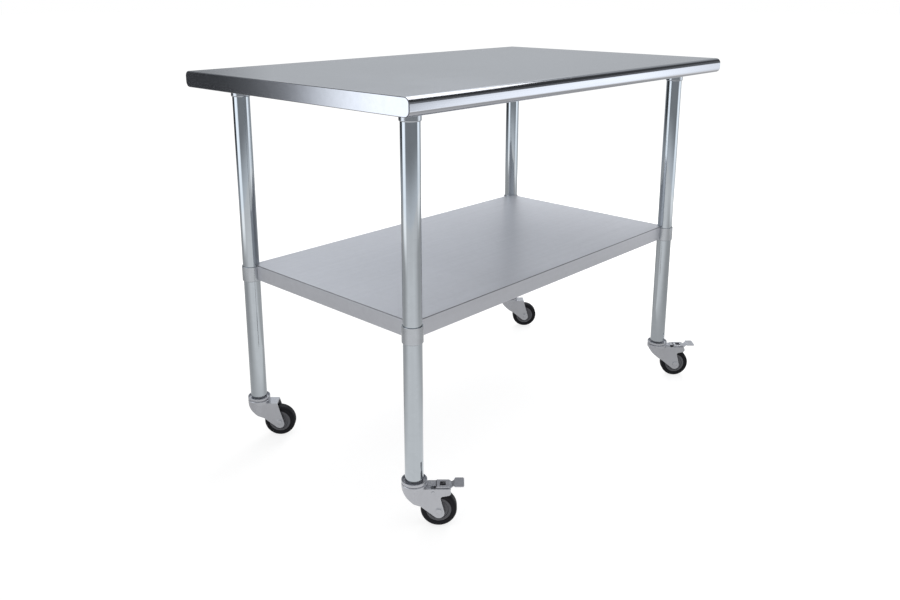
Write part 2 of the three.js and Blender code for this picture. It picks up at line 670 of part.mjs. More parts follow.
function padPlan() {
  const corner = PAD_CORNER;
  const shape = new THREE.Shape();
  shape.moveTo(PEDAL_FRONT - CUT_OVERRUN, -PEDAL_HALF_WIDTH);
  shape.lineTo(PEDAL_HEEL, -PEDAL_HALF_WIDTH);
  shape.lineTo(PEDAL_HEEL + corner / 2, -NECK_HALF_WIDTH);
  shape.lineTo(PAD_FRONT - corner / 2, -NECK_HALF_WIDTH);
  shape.lineTo(PAD_FRONT, -PAD_HALF_WIDTH);
  shape.absarc(PAD_BACK - corner, -PAD_HALF_WIDTH + corner, corner, -Math.PI / 2, 0, false);
  shape.absarc(PAD_BACK - corner, PAD_HALF_WIDTH - corner, corner, 0, Math.PI / 2, false);
  shape.lineTo(PAD_FRONT, PAD_HALF_WIDTH);
  shape.lineTo(PAD_FRONT - corner / 2, NECK_HALF_WIDTH);
  shape.lineTo(PEDAL_HEEL + corner / 2, NECK_HALF_WIDTH);
  shape.lineTo(PEDAL_HEEL, PEDAL_HALF_WIDTH);
  shape.lineTo(PEDAL_FRONT - CUT_OVERRUN, PEDAL_HALF_WIDTH);
  return shape;
}

function makePedal() {
  const web = CHEEK_TOP + PEDAL_RISE;
  const heel = CHEEK_TOP - PEDAL_HEEL_DROP;
  const pad = CHEEK_TOP + PAD_RISE;
  const strip = pulledAlongY(
    bentStrip([
      [PEDAL_FRONT, web], [PEDAL_BEND, web], [PEDAL_HEEL, heel], [PAD_FRONT, pad], [PAD_BACK, pad],
    ], PEDAL_SHEET), PAD_HALF_WIDTH);
  const top = strip.intersect(pulledUp(padPlan(), BRAKE_PIN_Z, CROWN_TOP + CUT_OVERRUN));
  const window = box(
    [TRAIL + WINDOW_BEHIND, -WINDOW_HALF_WIDTH, web - PEDAL_SHEET],
    [TRAIL + WINDOW_BEHIND + WINDOW_LENGTH, WINDOW_HALF_WIDTH, web + PEDAL_SHEET]);

  const ear = new THREE.Shape();
  ear.absarc(BRAKE_PIN_X, BRAKE_PIN_Z, EAR_RADIUS, Math.PI * 2 / 3, Math.PI * 5 / 3, false);
  ear.lineTo(TRAIL + EAR_BEHIND, CHEEK_TOP - EAR_DROP);
  ear.lineTo(PEDAL_HEEL - PEDAL_SHEET, heel);
  ear.lineTo(PEDAL_BEND, web);
  ear.lineTo(PEDAL_FRONT, web);
  const ears = pulledAlongY(ear, PEDAL_HALF_WIDTH)
    .subtract(pulledAlongY(ear, PEDAL_HALF_WIDTH - PEDAL_SHEET));

  const shoe = makeShoe();
  const low = shoe.boundingBox();
  const middle = (low.min[0] + low.max[0]) / 2;
  const post = box(
    [middle - SHOE_SHEET / 2, -SHOE_HALF_WIDTH, (low.min[2] + low.max[2]) / 2],
    [middle + SHOE_SHEET / 2, SHOE_HALF_WIDTH, web]);
  const pin = placed(
    barY(BRAKE_PIN_BORE, CHEEK_OUTSIDE, SMALL_STEPS), BRAKE_PIN_X, 0, BRAKE_PIN_Z);
  return unite([top.subtract(window), ears, post, shoe]).subtract(pin);
}

function makeBrakePin() {
  const shaft = BRAKE_PIN_DIAMETER / 2;
  const seat = CHEEK_OUTSIDE + SEAT_GAP;
  const face = [
    [shaft, seat], [BRAKE_PIN_HEAD_DIAMETER / 2, seat], [shaft, seat + BRAKE_PIN_HEAD],
    [0, seat + BRAKE_PIN_HEAD],
  ];
  const back = face.map(([r, y]) => [r, -y]).reverse();
  return turnedOnY([...back, ...face], SMALL_STEPS);
}

function makeBrakeSpring() {
  const foot = CHEEK_TOP + SEAT_GAP + SPRING_SHEET / 2;
  const hump = foot + SPRING_RISE;
  const leaf = pulledAlongY(
    bentStrip([
      [SPRING_FRONT, foot], [SPRING_FOOT_BACK, foot], [SPRING_HUMP_FRONT, hump],
      [SPRING_HUMP_BACK, hump], [SPRING_TIP, hump - SPRING_TIP_DROP],
    ], SPRING_SHEET), SPRING_HALF_WIDTH);
  const low = CHEEK_TOP - FORK_SHEET - SEAT_GAP;
  const high = foot + SPRING_SHEET / 2;
  const shank = SPRING_RIVET_DIAMETER / 2;
  const head = SPRING_RIVET_HEAD_DIAMETER / 2;
  const rivet = turned([
    [0, low - SPRING_RIVET_HEAD], [head, low - SPRING_RIVET_HEAD], [head, low], [shank, low],
    [shank, high], [head, high], [shank, high + SPRING_RIVET_HEAD], [0, high + SPRING_RIVET_HEAD],
  ], SMALL_STEPS);
  return leaf.add(placed(rivet, SPRING_RIVET_X, 0, 0));
}

// Assembly

function piece(name, solid, finish, parent, position = [0, 0, 0]) {
  const mesh = new THREE.Mesh(toGeometry(solid), new THREE.MeshStandardMaterial(FINISHES[finish]));
  mesh.name = name;
  mesh.position.set(...position);
  parent.add(mesh);
}

const table = new THREE.Group();

piece('worktop', makeWorktop(), 'stainless', table);
piece('end_channel_left', makeEndChannel(), 'galvanised', table, [-LEG_X, 0, 0]);
piece('end_channel_right', makeEndChannel(), 'galvanised', table, [LEG_X, 0, 0]);
piece('centre_channel', makeCentreChannel(), 'galvanised', table);
piece('undershelf', makeUndershelf(), 'shelfSheet', table);
piece('shelf_channel', makeShelfChannel(), 'galvanised', table);

for (const { name, x, y, turn, braked } of CORNERS) {
  const corner = new THREE.Group();
  corner.position.set(x * LEG_X, y * LEG_Y, 0);
  corner.rotation.z = turn;
  table.add(corner);
  piece(`leg_${name}`, makeLeg(), 'galvanised', corner);
  piece(`leg_socket_${name}`, makeLegSocket(), 'cast', corner);
  piece(`socket_screw_${name}`, makeSetScrew(SOCKET_FOOT + SOCKET_SCREW_RISE), 'steel', corner);
  piece(`shelf_socket_${name}`, makeShelfSocket(), 'cast', corner);
  piece(`shelf_screw_${name}`, makeSetScrew(SHELF_SCREW_Z), 'steel', corner);
  piece(`caster_stem_${name}`, makeCasterStem(), 'steel', corner);
  piece(`swivel_cup_${name}`, makeSwivelCup(), 'zinc', corner);

  const caster = new THREE.Group();
  caster.position.set(x * LEG_X, y * LEG_Y, 0);
  caster.rotation.z = CASTER_TURN_DEG * Math.PI / 180;
  table.add(caster);
  const hub = [TRAIL, 0, WHEEL_RADIUS];
  piece(`caster_fork_${name}`, makeFork(braked), 'zinc', caster);
  piece(`tyre_${name}`, makeTyre(), 'tyre', caster, hub);
  piece(`wheel_core_${name}`, makeCore(), 'core', caster, hub);
  piece(`axle_${name}`, makeAxle(), 'zinc', caster, hub);
  piece(`hub_sleeve_${name}`, makeSleeve(), 'steel', caster, hub);
  if (braked) {
    piece(`brake_pedal_${name}`, makePedal(), 'zinc', caster);
    piece(`brake_pin_${name}`, makeBrakePin(), 'zinc', caster, [BRAKE_PIN_X, 0, BRAKE_PIN_Z]);
    piece(`brake_spring_${name}`, makeBrakeSpring(), 'zinc', caster);
  }
}

export default table;
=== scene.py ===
"""Looks for a sheet metal work table on swivel casters, as a Blender add-on.

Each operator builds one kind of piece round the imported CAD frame, in metres, +Z up and the front at -Y.
Run as a script it builds the whole table, its studio and its camera."""

import json
import math

import bmesh
import bpy
from mathutils import Matrix, Vector


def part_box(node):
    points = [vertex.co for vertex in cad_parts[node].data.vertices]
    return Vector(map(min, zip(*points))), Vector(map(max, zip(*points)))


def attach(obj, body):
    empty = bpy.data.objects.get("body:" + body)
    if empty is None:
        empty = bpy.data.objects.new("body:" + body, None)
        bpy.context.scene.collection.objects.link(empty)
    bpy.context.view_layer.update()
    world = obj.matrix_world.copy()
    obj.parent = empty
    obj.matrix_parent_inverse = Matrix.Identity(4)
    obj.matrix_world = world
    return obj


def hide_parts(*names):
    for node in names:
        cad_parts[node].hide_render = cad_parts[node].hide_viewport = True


bl_info = {
    "name": "Work Table Looks",
    "version": (1, 0, 0),
    "blender": (4, 5, 0),
    "location": "3D View > Sidebar > Work Table",
    "description": "Builds the visible pieces of a work table on casters round its CAD frame",
    "category": "Object",
}

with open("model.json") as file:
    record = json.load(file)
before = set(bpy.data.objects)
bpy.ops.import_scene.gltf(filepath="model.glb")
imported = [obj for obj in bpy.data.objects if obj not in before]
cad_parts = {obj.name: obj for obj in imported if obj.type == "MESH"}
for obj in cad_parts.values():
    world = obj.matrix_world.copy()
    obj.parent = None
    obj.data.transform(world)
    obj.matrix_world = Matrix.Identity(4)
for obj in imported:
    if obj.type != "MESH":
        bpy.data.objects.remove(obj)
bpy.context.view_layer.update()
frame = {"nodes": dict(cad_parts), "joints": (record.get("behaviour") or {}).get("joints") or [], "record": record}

CORNERS = ("front_left", "front_right", "rear_right", "rear_left")
BRAKED = ("front_left", "front_right")
BODY_OF = {
    node: body for body, nodes in frame["record"]["behaviour"]["bodies"].items() for node in nodes
}
JOINTS = {joint["name"]: joint for joint in frame["joints"]}

# The reflected wall's parts and the floor card: degrees from +Y towards +X, and how bright it is there
WALL_FOOT = (
    (-180, 0.44), (180, 0.44), (-90, 0.44), (-80, 0.8), (-56, 0.8), (-45, 0.26), (100, 0.26), (112, 0.6),
    (150, 0.7), (160, 0.44),
)
WALL_LOW = (
    (-180, 0.18), (180, 0.18), (-88, 0.17), (-81, 0.85), (-54, 1.0), (-50, 0.66), (-46, 0.13),
    (-40, 0.03), (8, 0.04), (17, 0.13), (25, 0.25), (100, 0.26), (112, 0.55), (126, 0.9), (146, 0.78),
    (155, 0.15),
)
WALL_MIDDLE = (
    (-180, 0.34), (180, 0.34), (-88, 0.34), (-80, 0.7), (-54, 0.7), (-42, 0.3), (8, 0.16), (22, 0.62),
    (56, 0.62), (68, 0.2), (92, 0.22), (104, 0.07), (116, 0.09), (130, 0.09), (146, 0.07), (160, 0.34),
)
WALL_HIGH = (
    (-180, 0.34), (180, 0.34), (-88, 0.34), (-80, 0.7), (-54, 0.7), (-42, 0.3), (8, 0.3), (22, 0.62),
    (56, 0.62), (68, 0.2), (88, 0.22), (102, 0.04), (128, 0.028), (148, 0.035), (160, 0.34),
)
CARD_GREY = (
    (-180, 0.36), (180, 0.36), (-165, 0.43), (-150, 0.48), (-100, 0.48), (-82, 0.36), (-64, 0.25),
    (150, 0.26), (170, 0.3),
)
# The same degrees, and the share of the wall's height where its low part ends
WALL_STEP = (
    (-180, 0.2), (180, 0.2), (-12, 0.2), (5, 0.32), (62, 0.32), (100, 0.19), (120, 0.18), (135, 0.155),
    (148, 0.125),
)

# Name, the setting of its power, size, place, turn and tilt in degrees, and whether the metal reflects it
LAMPS = (
    ("key_lamp", "key", (2.0, 3.4), (1.9, 0.5, 3.3), -18, 0, True),
    ("overhead_lamp", "overhead", (3.0, 3.0), (-0.6, -0.8, 3.4), 0, 0, False),
    ("side_lamp", "side", (1.6, 0.8), (2.6, 1.5, 1.2), 120, 80, False),
)
# The width of the camera's sensor in mm, and the nearest and furthest that it sees
SENSOR_WIDTH = 36.0
VIEW_RANGE = (0.05, 200.0)

# The forks' outline seen from the side, each point a share of the trail and of the cheeks' height
FRONT_TOP, FRONT_PULL, FRONT_ELBOW = (-0.52, 0.975), (-0.4, 0.84), (-0.2, 0.763)
PLAIN_BACK = (0.934, 1)
HORN_FOOT, HORN_PULL, HORN_BELLY = (1.083, 0.745), (1.088, 0.796), (1.16, 0.806)
HORN_LIP, TIP_PULL, HORN_TIP, HORN_TOP = (1.4, 0.832), (1.54, 0.86), (1.5, 0.945), (1.452, 1)

# Room between pieces that touch, and between pieces that slide or turn on each other
SEAT_GAP = 0.0003
SLIDE_GAP = 0.0004
# How far a cutting tool reaches past what it cuts
OVERRUN = 0.005
# How far a piece may miss its CAD node's box
FIT = 0.0012
# Points nearer to each other than this are one point
WELD = 1e-7
# Steps round a large piece, round a small one and along a rounded edge
ROUND_STEPS = 72
SMALL_STEPS = 36
ARC_STEPS = 6
# The most of an edge that the rounding of one corner takes
EDGE_SHARE = 0.48
# Half a corner's angle, in degrees, from which it counts as straight
STRAIGHT_HALF = 88
# Where a dome starts to curve in, and how wide a rivet's closed end is, as shares of the head's radius
DOME_SHOULDER = 0.9
CLOSED_END = 0.8
# Rounding of a cup's rim, as a share of its thickness
RIM_ROUNDING = 0.45
# Where the pedal's ears start and end round the pin, in degrees from the trail's direction
EAR_ARC = (120, 300)

# The dark reflection painted into the colour at a bend: its share of the metal's colour, and how far the
# surface faces along the fold axis where the painted line fades in and out
PAINTED_BEND_REFLECTION = 0.2
PAINTED_REFLECTION_IN, PAINTED_REFLECTION_OUT = (0.1, 0.3), (0.995, 0.9)
# The values that most of a metal's grain lies between, and how far scuffs dent it
GRAIN_RANGE = (0.3, 0.7)
SCUFF_DENT = -0.3
# What smears and scuffs add to roughness
SMEAR_ROUGH, SCUFF_ROUGH = 0.06, 0.1
CAST_SMEAR_ROUGH, MOULDED_SMEAR_ROUGH = 0.1, 0.15
# How deep the grain of a metal and of a moulding is
METAL_DEPTH, MOULDED_DEPTH = 0.0001, 0.0002


def length(name, default, description):
    return bpy.props.FloatProperty(
        name=name, default=default, description=description, unit="LENGTH", precision=5, min=0.0)


def angle(name, degrees, description):
    return bpy.props.FloatProperty(
        name=name, default=math.radians(degrees), description=description, unit="ROTATION")


def number(name, default, description):
    return bpy.props.FloatProperty(
        name=name, default=default, description=description, subtype="FACTOR", precision=3)


def power(name, default, description):
    return bpy.props.FloatProperty(name=name, default=default, description=description, unit="POWER")


def colour(name, default, description):
    return bpy.props.FloatVectorProperty(
        name=name, default=default, description=description, size=3, subtype="COLOR", min=0.0, max=1.0)


class SheetSettings(bpy.types.PropertyGroup):
    """Sizes of the folded worktop and undershelf"""

    sheet: length("Sheet", 0.0012, "Thickness of both sheets")
    roll: length("Roll radius", 0.013, "Radius of the worktop's rolled long edges")
    end_bend: length("End bend", 0.0017, "Outside radius where the worktop turns down at its ends")
    top_lip: length("Worktop lip", 0.024, "Width of the lip turned in under the worktop")
    shelf_bend: length("Shelf bend", 0.0022, "Outside radius of the undershelf's bends")
    shelf_lip: length("Shelf lip", 0.012, "Width of the lip turned in under the undershelf")


class LegSettings(bpy.types.PropertyGroup):
    """Sizes of the legs and of the sockets on them"""

    wall: length("Leg wall", 0.0015, "Thickness of the leg tube")
    socket_wall: length("Socket wall", 0.002, "Thickness of the worktop's leg sockets")
    flange: length("Flange", 0.003, "Thickness of a leg socket's flange")
    chamfer: length("Socket chamfer", 0.002, "Chamfer round a leg socket's foot")
    ring_wall: length("Ring wall", 0.0022, "Thickness of the ring that clamps the undershelf")
    ring_chamfer: length("Ring chamfer", 0.0015, "Chamfer round the ring's foot")
    wing: length("Wing", 0.04, "Reach of the wings behind the undershelf's flanges")
    wing_sheet: length("Wing sheet", 0.002, "Thickness of the wings")
    boss: length("Boss", 0.014, "Diameter of the clamp screw's boss")
    boss_reach: length("Boss reach", 0.005, "How far the boss stands out of the ring")
    screw: length("Screw", 0.006, "Diameter of the set screws")
    screw_rise: length("Screw rise", 0.009, "Height of a set screw above its leg socket's foot")


class WheelSettings(bpy.types.PropertyGroup):
    """Sizes of a caster wheel"""

    tyre_width: length("Tyre width", 0.028, "Width of the tyre")
    tread: length("Tread", 0.018, "Width of the tyre's tread")
    shoulder: length("Shoulder", 0.003, "Depth of the tyre's rounded shoulder")
    tread_round: length("Tread rounding", 0.0126, "Rounding where the tread meets the shoulder")
    side_round: length("Side rounding", 0.0042, "Rounding where the shoulder meets the side")
    side_draw: length("Side draw", 0.001, "How far the tyre's side slopes in to the core")
    core: length("Core", 0.056, "Diameter of the wheel core")
    core_width: length("Core width", 0.025, "Width of the core at its rim")
    rim: length("Rim", 0.0065, "Width of the core's flat rim")
    dish: length("Dish", 0.0016, "Depth of the core's dished face")
    hub: length("Hub", 0.022, "Diameter of the core's hub")
    hub_width: length("Hub width", 0.0304, "Width of the core at its hub")
    groove: length("Groove", 0.0008, "Width and depth of the core's round grooves")
    sleeve_wall: length("Sleeve wall", 0.002, "Thickness of the sleeve that the core turns on")
    axle: length("Axle", 0.008, "Diameter of the axle")
    axle_head: length("Axle head", 0.013, "Diameter of the axle's domed heads")
    axle_head_rise: length("Axle head rise", 0.0016, "Height of the axle's domed heads")


class ForkSettings(bpy.types.PropertyGroup):
    """Sizes of a caster's fork, cup and stem"""

    gap: length("Gap", 0.032, "Room between the two cheeks")
    sheet: length("Fork sheet", 0.0025, "Thickness of the fork's plate")
    crown: length("Crown", 0.057, "Diameter of the round crown")
    clearance: length("Clearance", 0.0135, "Room between the wheel and the cheeks' top")
    rise: length("Crown rise", 0.008, "How far the crown stands above the cheeks")
    crown_edge: length("Crown edge", 0.0015, "Rounding of the crown's edge")
    taper: length("Taper", 0.014, "Where the crown has drawn in to the cheeks' width")
    tip: length("Tip", 0.0126, "Radius of the cheeks' round tip")
    tip_drop: length("Tip drop", 0.0045, "How far the tip's centre lies below the axle")
    boss: length("Cheek boss", 0.017, "Diameter of the raised boss round the axle")
    boss_rise: length("Boss rise", 0.0008, "Height of that boss")
    kingpin: length("Kingpin", 0.012, "Diameter of the kingpin")
    kingpin_head: length("Kingpin head", 0.003, "Height of the kingpin's head")
    kingpin_rim: length("Kingpin rim", 0.004, "How far the kingpin's head stands out round it")
    cup_sheet: length("Cup sheet", 0.002, "Thickness of the swivel cup")
    cup_flare: length("Cup flare", 0.0015, "Slope at the foot of the cup's rim")
    collar_inset: length("Collar inset", 0.0008, "How much narrower than the leg the stem's collar is")


class BrakeSettings(bpy.types.PropertyGroup):
    """Sizes of a brake's pedal, pin and leaf spring"""

    press: angle("Press", 9, "How far the pedal turns to press on the tyre")
    pin: length("Pin", 0.005, "Diameter of the pedal's pin")
    pin_head: length("Pin head", 0.0075, "Diameter of the pin's heads")
    pin_head_rise: length("Pin head rise", 0.0009, "Height of the pin's heads")
    sheet: length("Pedal sheet", 0.0018, "Thickness of the pedal's plate")
    side_gap: length("Side gap", 0.0012, "Room between the pedal and each cheek")
    rise: length("Pedal rise", 0.0031, "Height of the pedal's web above the cheeks")
    ahead: length("Pedal ahead", 0.0043, "How far the web starts ahead of the axle")
    bend: length("Pedal bend", 0.0227, "How far behind the axle the web bends down")
    heel: length("Heel", 0.004, "Length of the slope down to the heel")
    heel_drop: length("Heel drop", 0.0005, "How far the heel lies below the cheeks' top")
    neck: length("Neck", 0.009, "Length of the neck that rises to the pad")
    neck_half: length("Neck half width", 0.011, "Half the neck's width")
    pad: length("Pad", 0.02, "Length of the foot pad")
    pad_rise: length("Pad rise", 0.0062, "Height of the pad above the cheeks' top")
    pad_half: length("Pad half width", 0.018, "Half the pad's width")
    pad_corner: length("Pad corner", 0.004, "Radius of the pad's corners")
    ear: length("Ear", 0.0045, "Radius of the pedal's ears round the pin")
    ear_back: length("Ear back", 0.0207, "How far behind the axle the ears reach")
    ear_drop: length("Ear drop", 0.005, "How far the ears hang below the cheeks' top there")
    window: length("Window", 0.013, "Length of the window in the web")
    window_behind: length("Window behind", 0.0027, "How far behind the axle the window starts")
    window_half: length("Window half width", 0.008, "Half the window's width")
    shoe_angle: angle("Shoe angle", 62, "Where the shoe meets the tyre, above level")
    shoe: length("Shoe", 0.012, "Length of the brake shoe")
    shoe_sheet: length("Shoe sheet", 0.002, "Thickness of the shoe and its post")
    shoe_half: length("Shoe half width", 0.01, "Half the shoe's width")
    spring: length("Spring", 0.0012, "Thickness of the leaf spring")
    spring_half: length("Spring half width", 0.01, "Half the leaf spring's width")
    spring_gap: length("Spring gap", 0.002, "Room between the spring's tip and the pedal")
    spring_tip: length("Spring tip", 0.0015, "Length of the spring's drooping tip")
    spring_hump: length("Spring hump", 0.006, "Length of the spring's flat hump")
    spring_slope: length("Spring slope", 0.0035, "Length of the slope up to the hump")
    spring_foot: length("Spring foot", 0.006, "Length of the spring's foot")
    spring_foot_margin: length("Foot margin", 0.0015, "How far behind the foot the fork's slot starts")
    spring_rise: length("Spring rise", 0.0036, "Height of the hump above the foot")
    spring_tip_drop: length("Spring tip drop", 0.0024, "How far the tip droops")
    rivet: length("Rivet", 0.004, "Diameter of the spring's rivet")
    rivet_head: length("Rivet head", 0.006, "Diameter of the rivet's heads")
    rivet_rise: length("Rivet rise", 0.0008, "Height of the rivet's heads")


class FinishSettings(bpy.types.PropertyGroup):
    """Colours and roughness of the finishes"""

    stainless: colour("Stainless", (0.51, 0.522, 0.56), "Brushed stainless steel of the worktop")
    stainless_rough: number("Stainless roughness", 0.12, "How far its reflections spread")
    tube: colour("Tube", (0.445, 0.478, 0.508), "Bright galvanised tube of the legs")
    tube_rough: number("Tube roughness", 0.06, "How far its reflections spread")
    shelf: colour("Shelf sheet", (0.67, 0.683, 0.73), "Galvanised sheet of the undershelf")
    shelf_rough: number("Shelf roughness", 0.34, "How far its reflections spread")
    channel: colour("Channel", (0.4, 0.42, 0.45), "Spangled galvanised channels")
    channel_rough: number("Channel roughness", 0.4, "How far its reflections spread")
    cast: colour("Cast", (0.44, 0.46, 0.485), "Cast sockets")
    cast_rough: number("Cast roughness", 0.2, "How far its reflections spread")
    zinc: colour("Zinc", (0.54, 0.55, 0.585), "Zinc plate of the casters")
    zinc_rough: number("Zinc roughness", 0.24, "How far its reflections spread")
    steel: colour("Plain steel", (0.38, 0.39, 0.41), "Plain steel of stems, screws and sleeves")
    steel_rough: number("Plain steel roughness", 0.33, "How far its reflections spread")
    core: colour("Core", (0.155, 0.156, 0.172), "Grey plastic of the wheel cores")
    core_rough: number("Core roughness", 0.48, "How far its reflections spread")
    tyre: colour("Tyre", (0.008, 0.008, 0.011), "Black rubber of the tyres")
    tyre_rough: number("Tyre roughness", 0.55, "How far its reflections spread")


class StudioSettings(bpy.types.PropertyGroup):
    """The camera, the lamps and the wall that the metal reflects"""

    camera_place: bpy.props.FloatVectorProperty(
        name="Camera place", default=(-1.67732, -1.47993, 1.14433), size=3, subtype="TRANSLATION",
        unit="LENGTH", description="Where the camera stands")
    camera_turn: angle("Camera turn", 46.936, "Which way it looks, from +Y towards +X")
    camera_dip: angle("Camera dip", 14.52, "How far it looks down")
    lens: bpy.props.FloatProperty(
        name="Lens", default=34.153, unit="CAMERA", description="Focal length on a 36 mm sensor")
    lens_shift: bpy.props.FloatProperty(
        name="Lens shift", default=-0.1, description="Vertical shift, as a share of the picture's width")
    wall_radius: length("Wall radius", 3.0, "Distance of the wall that only reflections see")
    wall_height: length("Wall height", 5.0, "Height of that wall")
    wall_glow: number("Wall glow", 2.1, "Strength of its brightest part")
    wall_tint: colour("Wall tint", (0.915, 0.955, 1.0), "Colour of the wall")
    foot_fade: length("Foot fade", 0.4, "Height over which the wall's foot fades out")
    step_fade: length("Step fade", 0.12, "How far the fade from low to middle reaches up and down")
    high_start: length("High start", 1.6, "Height where the wall's high part starts to show")
    high_full: length("High full", 1.95, "Height where the high part alone shows")
    card_inner: length("Card inner radius", 0.02, "Where the grey card on the floor starts")
    card_rise: length("Card rise", 0.002, "Its height above the floor")
    card_plain: number("Plain grey", 0.48, "Grey that evens the card out near the table")
    card_plain_share: number("Plain grey share", 0.25, "How much of that grey is mixed in")
    card_plain_start: length("Plain grey start", 0.7, "Distance where that share starts to fade")
    card_plain_end: length("Plain grey end", 1.4, "Distance where none of it is left")
    card_fade_start: length("Card fade start", 2.0, "Distance where it starts to match the wall's foot")
    card_fade_end: length("Card fade end", 2.8, "Distance where it matches the wall's foot")
    floor: length("Floor", 80.0, "Width of the floor")
    floor_near: number("Floor glow", 0.79, "How bright the floor is by itself near the table")
    floor_far: number("Far floor glow", 0.87, "How bright it is by itself far away")
    floor_paint: number("Floor paint", 0.35, "Grey of the floor's paint, which takes the shadows")
    fill: number("Fill", 0.5, "Plain light that falls from all round")
    key: power("Key lamp", 47.0, "Soft box above the right end")
    side: power("Side lamp", 60.0, "Low lamp behind the right end")
    overhead: power("Overhead lamp", 22.0, "Wide lamp overhead")


SETTINGS = {
    "table_sheets": SheetSettings,
    "table_legs": LegSettings,
    "table_wheels": WheelSettings,
    "table_forks": ForkSettings,
    "table_brakes": BrakeSettings,
    "table_finishes": FinishSettings,
    "table_studio": StudioSettings,
}


# Outlines


def arc(centre, radius, start, end, steps):
    """Points on an arc, from one angle to another"""
    turn = (end - start) / steps
    return [
        (centre[0] + radius * math.cos(start + turn * i), centre[1] + radius * math.sin(start + turn * i))
        for i in range(steps + 1)
    ]


def curved(start, pull, end, steps=ARC_STEPS):
    """Points on the curve from start to end that leaves and arrives towards pull"""
    shares = [i / steps for i in range(steps + 1)]
    return [
        tuple((1 - t) ** 2 * a + 2 * t * (1 - t) * b + t * t * c for a, b, c in zip(start, pull, end))
        for t in shares
    ]


def rounded(points, radius, closed=True, steps=4):
    """The same outline with its corners rounded; a point's third number is its own radius"""
    made = []
    count = len(points)
    for i, point in enumerate(points):
        here = Vector(point[:2])
        wanted = point[2] if len(point) > 2 else radius
        if wanted <= 0 or (not closed and i in (0, count - 1)):
            made.append(tuple(here))
            continue
        back = Vector(points[i - 1][:2]) - here
        ahead = Vector(points[(i + 1) % count][:2]) - here
        half = back.angle(ahead) / 2
        reach = min(wanted / math.tan(half), EDGE_SHARE * back.length, EDGE_SHARE * ahead.length)
        if half > math.radians(STRAIGHT_HALF) or reach < WELD:
            made.append(tuple(here))
            continue
        made += curved(here + back.normalized() * reach, here, here + ahead.normalized() * reach, steps)
    return made


def domed(head, seat, rise, steps=ARC_STEPS):
    """Points on a domed head, from its rim in to its top"""
    return curved((head, seat + SEAT_GAP), (DOME_SHOULDER * head, seat + rise), (0, seat + rise), steps)


def bent_strip(points, thickness):
    """The outline of a strip bent along a line of (along, up) points"""
    sides = ([], [])
    for i, (x, z) in enumerate(points):
        before, after = points[max(i - 1, 0)], points[min(i + 1, len(points) - 1)]
        arrive = math.atan2(z - before[1], x - before[0])
        leave = math.atan2(after[1] - z, after[0] - x)
        first = leave if i == 0 else arrive
        last = arrive if i == len(points) - 1 else leave
        middle = (first + last) / 2 + math.pi / 2
        for side, sign in zip(sides, (1, -1)):
            reach = sign * thickness / 2 / math.cos((last - first) / 2)
            side.append((x + reach * math.cos(middle), z + reach * math.sin(middle)))
    return sides[0] + sides[1][::-1]


# Meshes


def placed(name, data):
    """A new object in the scene"""
    made = bpy.data.objects.new(name, data)
    bpy.context.scene.collection.objects.link(made)
    return made


def make_solid(name, vertices, faces):
    mesh = bpy.data.meshes.new(name)
    mesh.from_pydata([tuple(v) for v in vertices], [], faces)
    made = bmesh.new()
    made.from_mesh(mesh)
    bmesh.ops.remove_doubles(made, verts=made.verts, dist=WELD)
    bmesh.ops.dissolve_degenerate(made, edges=made.edges, dist=WELD)
    bmesh.ops.recalc_face_normals(made, faces=made.faces)
    made.to_mesh(mesh)
    made.free()
    return placed(name, mesh)


def turned(outline, steps=ROUND_STEPS, axis="Z"):
    """A solid turned round an axis from (radius, place along the axis) points"""
    count = len(outline)
    vertices = []
    for i in range(steps):
        way = 2 * math.pi * i / steps
        for radius, along in outline:
            across, deep = radius * math.cos(way), radius * math.sin(way)
            vertices.append((across, deep, along) if axis == "Z" else (across, along, deep))
    faces = []
    for i in range(steps):
        near, far = i * count, (i + 1) % steps * count
        for j in range(count):
            k = (j + 1) % count
            if outline[j][0] > WELD or outline[k][0] > WELD:
                faces.append((near + j, far + j, far + k, near + k))
    return make_solid("turned", vertices, faces)


def prism(outline, low, high, along="Z"):
    """An outline pulled along X, Y or Z; it lies in the other two, in that order"""
    places = {
        "X": lambda a, b, pull: (pull, a, b),
        "Y": lambda a, b, pull: (a, pull, b),
        "Z": lambda a, b, pull: (a, b, pull),
    }[along]
    count = len(outline)
    vertices = [places(a, b, pull) for pull in (low, high) for a, b in outline]
    faces = [tuple(range(count)), tuple(range(count, 2 * count))]
    faces += [(i, (i + 1) % count, count + (i + 1) % count, count + i) for i in range(count)]
    return make_solid("prism", vertices, faces)


def block(low, high):
    """A solid box from its lowest to its highest corner"""
    plan = [(low[0], low[1]), (high[0], low[1]), (high[0], high[1]), (low[0], high[1])]
    return prism(plan, low[2], high[2])


def bar(radius, low, high, steps=ROUND_STEPS, axis="Z"):
    """A solid round bar on an axis"""
    return turned([(0, low), (radius, low), (radius, high), (0, high)], steps, axis)


def inward_bar(radius, near, far, height, steps=SMALL_STEPS):
    """A level bar half way between +X and +Y"""
    made = bar(radius, near, far, steps)
    made.data.transform(
        Matrix.Translation((0, 0, height)) @ Matrix.Rotation(math.pi / 4, 4, "Z")
        @ Matrix.Rotation(math.pi / 2, 4, "Y"))
    return made


def moved(piece, x=0, y=0, z=0):
    piece.data.transform(Matrix.Translation((x, y, z)))
    return piece


def settle(piece):
    """Turns the modifiers into plain mesh"""
    graph = bpy.context.evaluated_depsgraph_get()
    mesh = bpy.data.meshes.new_from_object(
        piece.evaluated_get(graph), preserve_all_data_layers=True, depsgraph=graph)
    before = piece.data
    piece.modifiers.clear()
    piece.data = mesh
    bpy.data.meshes.remove(before)
    return piece


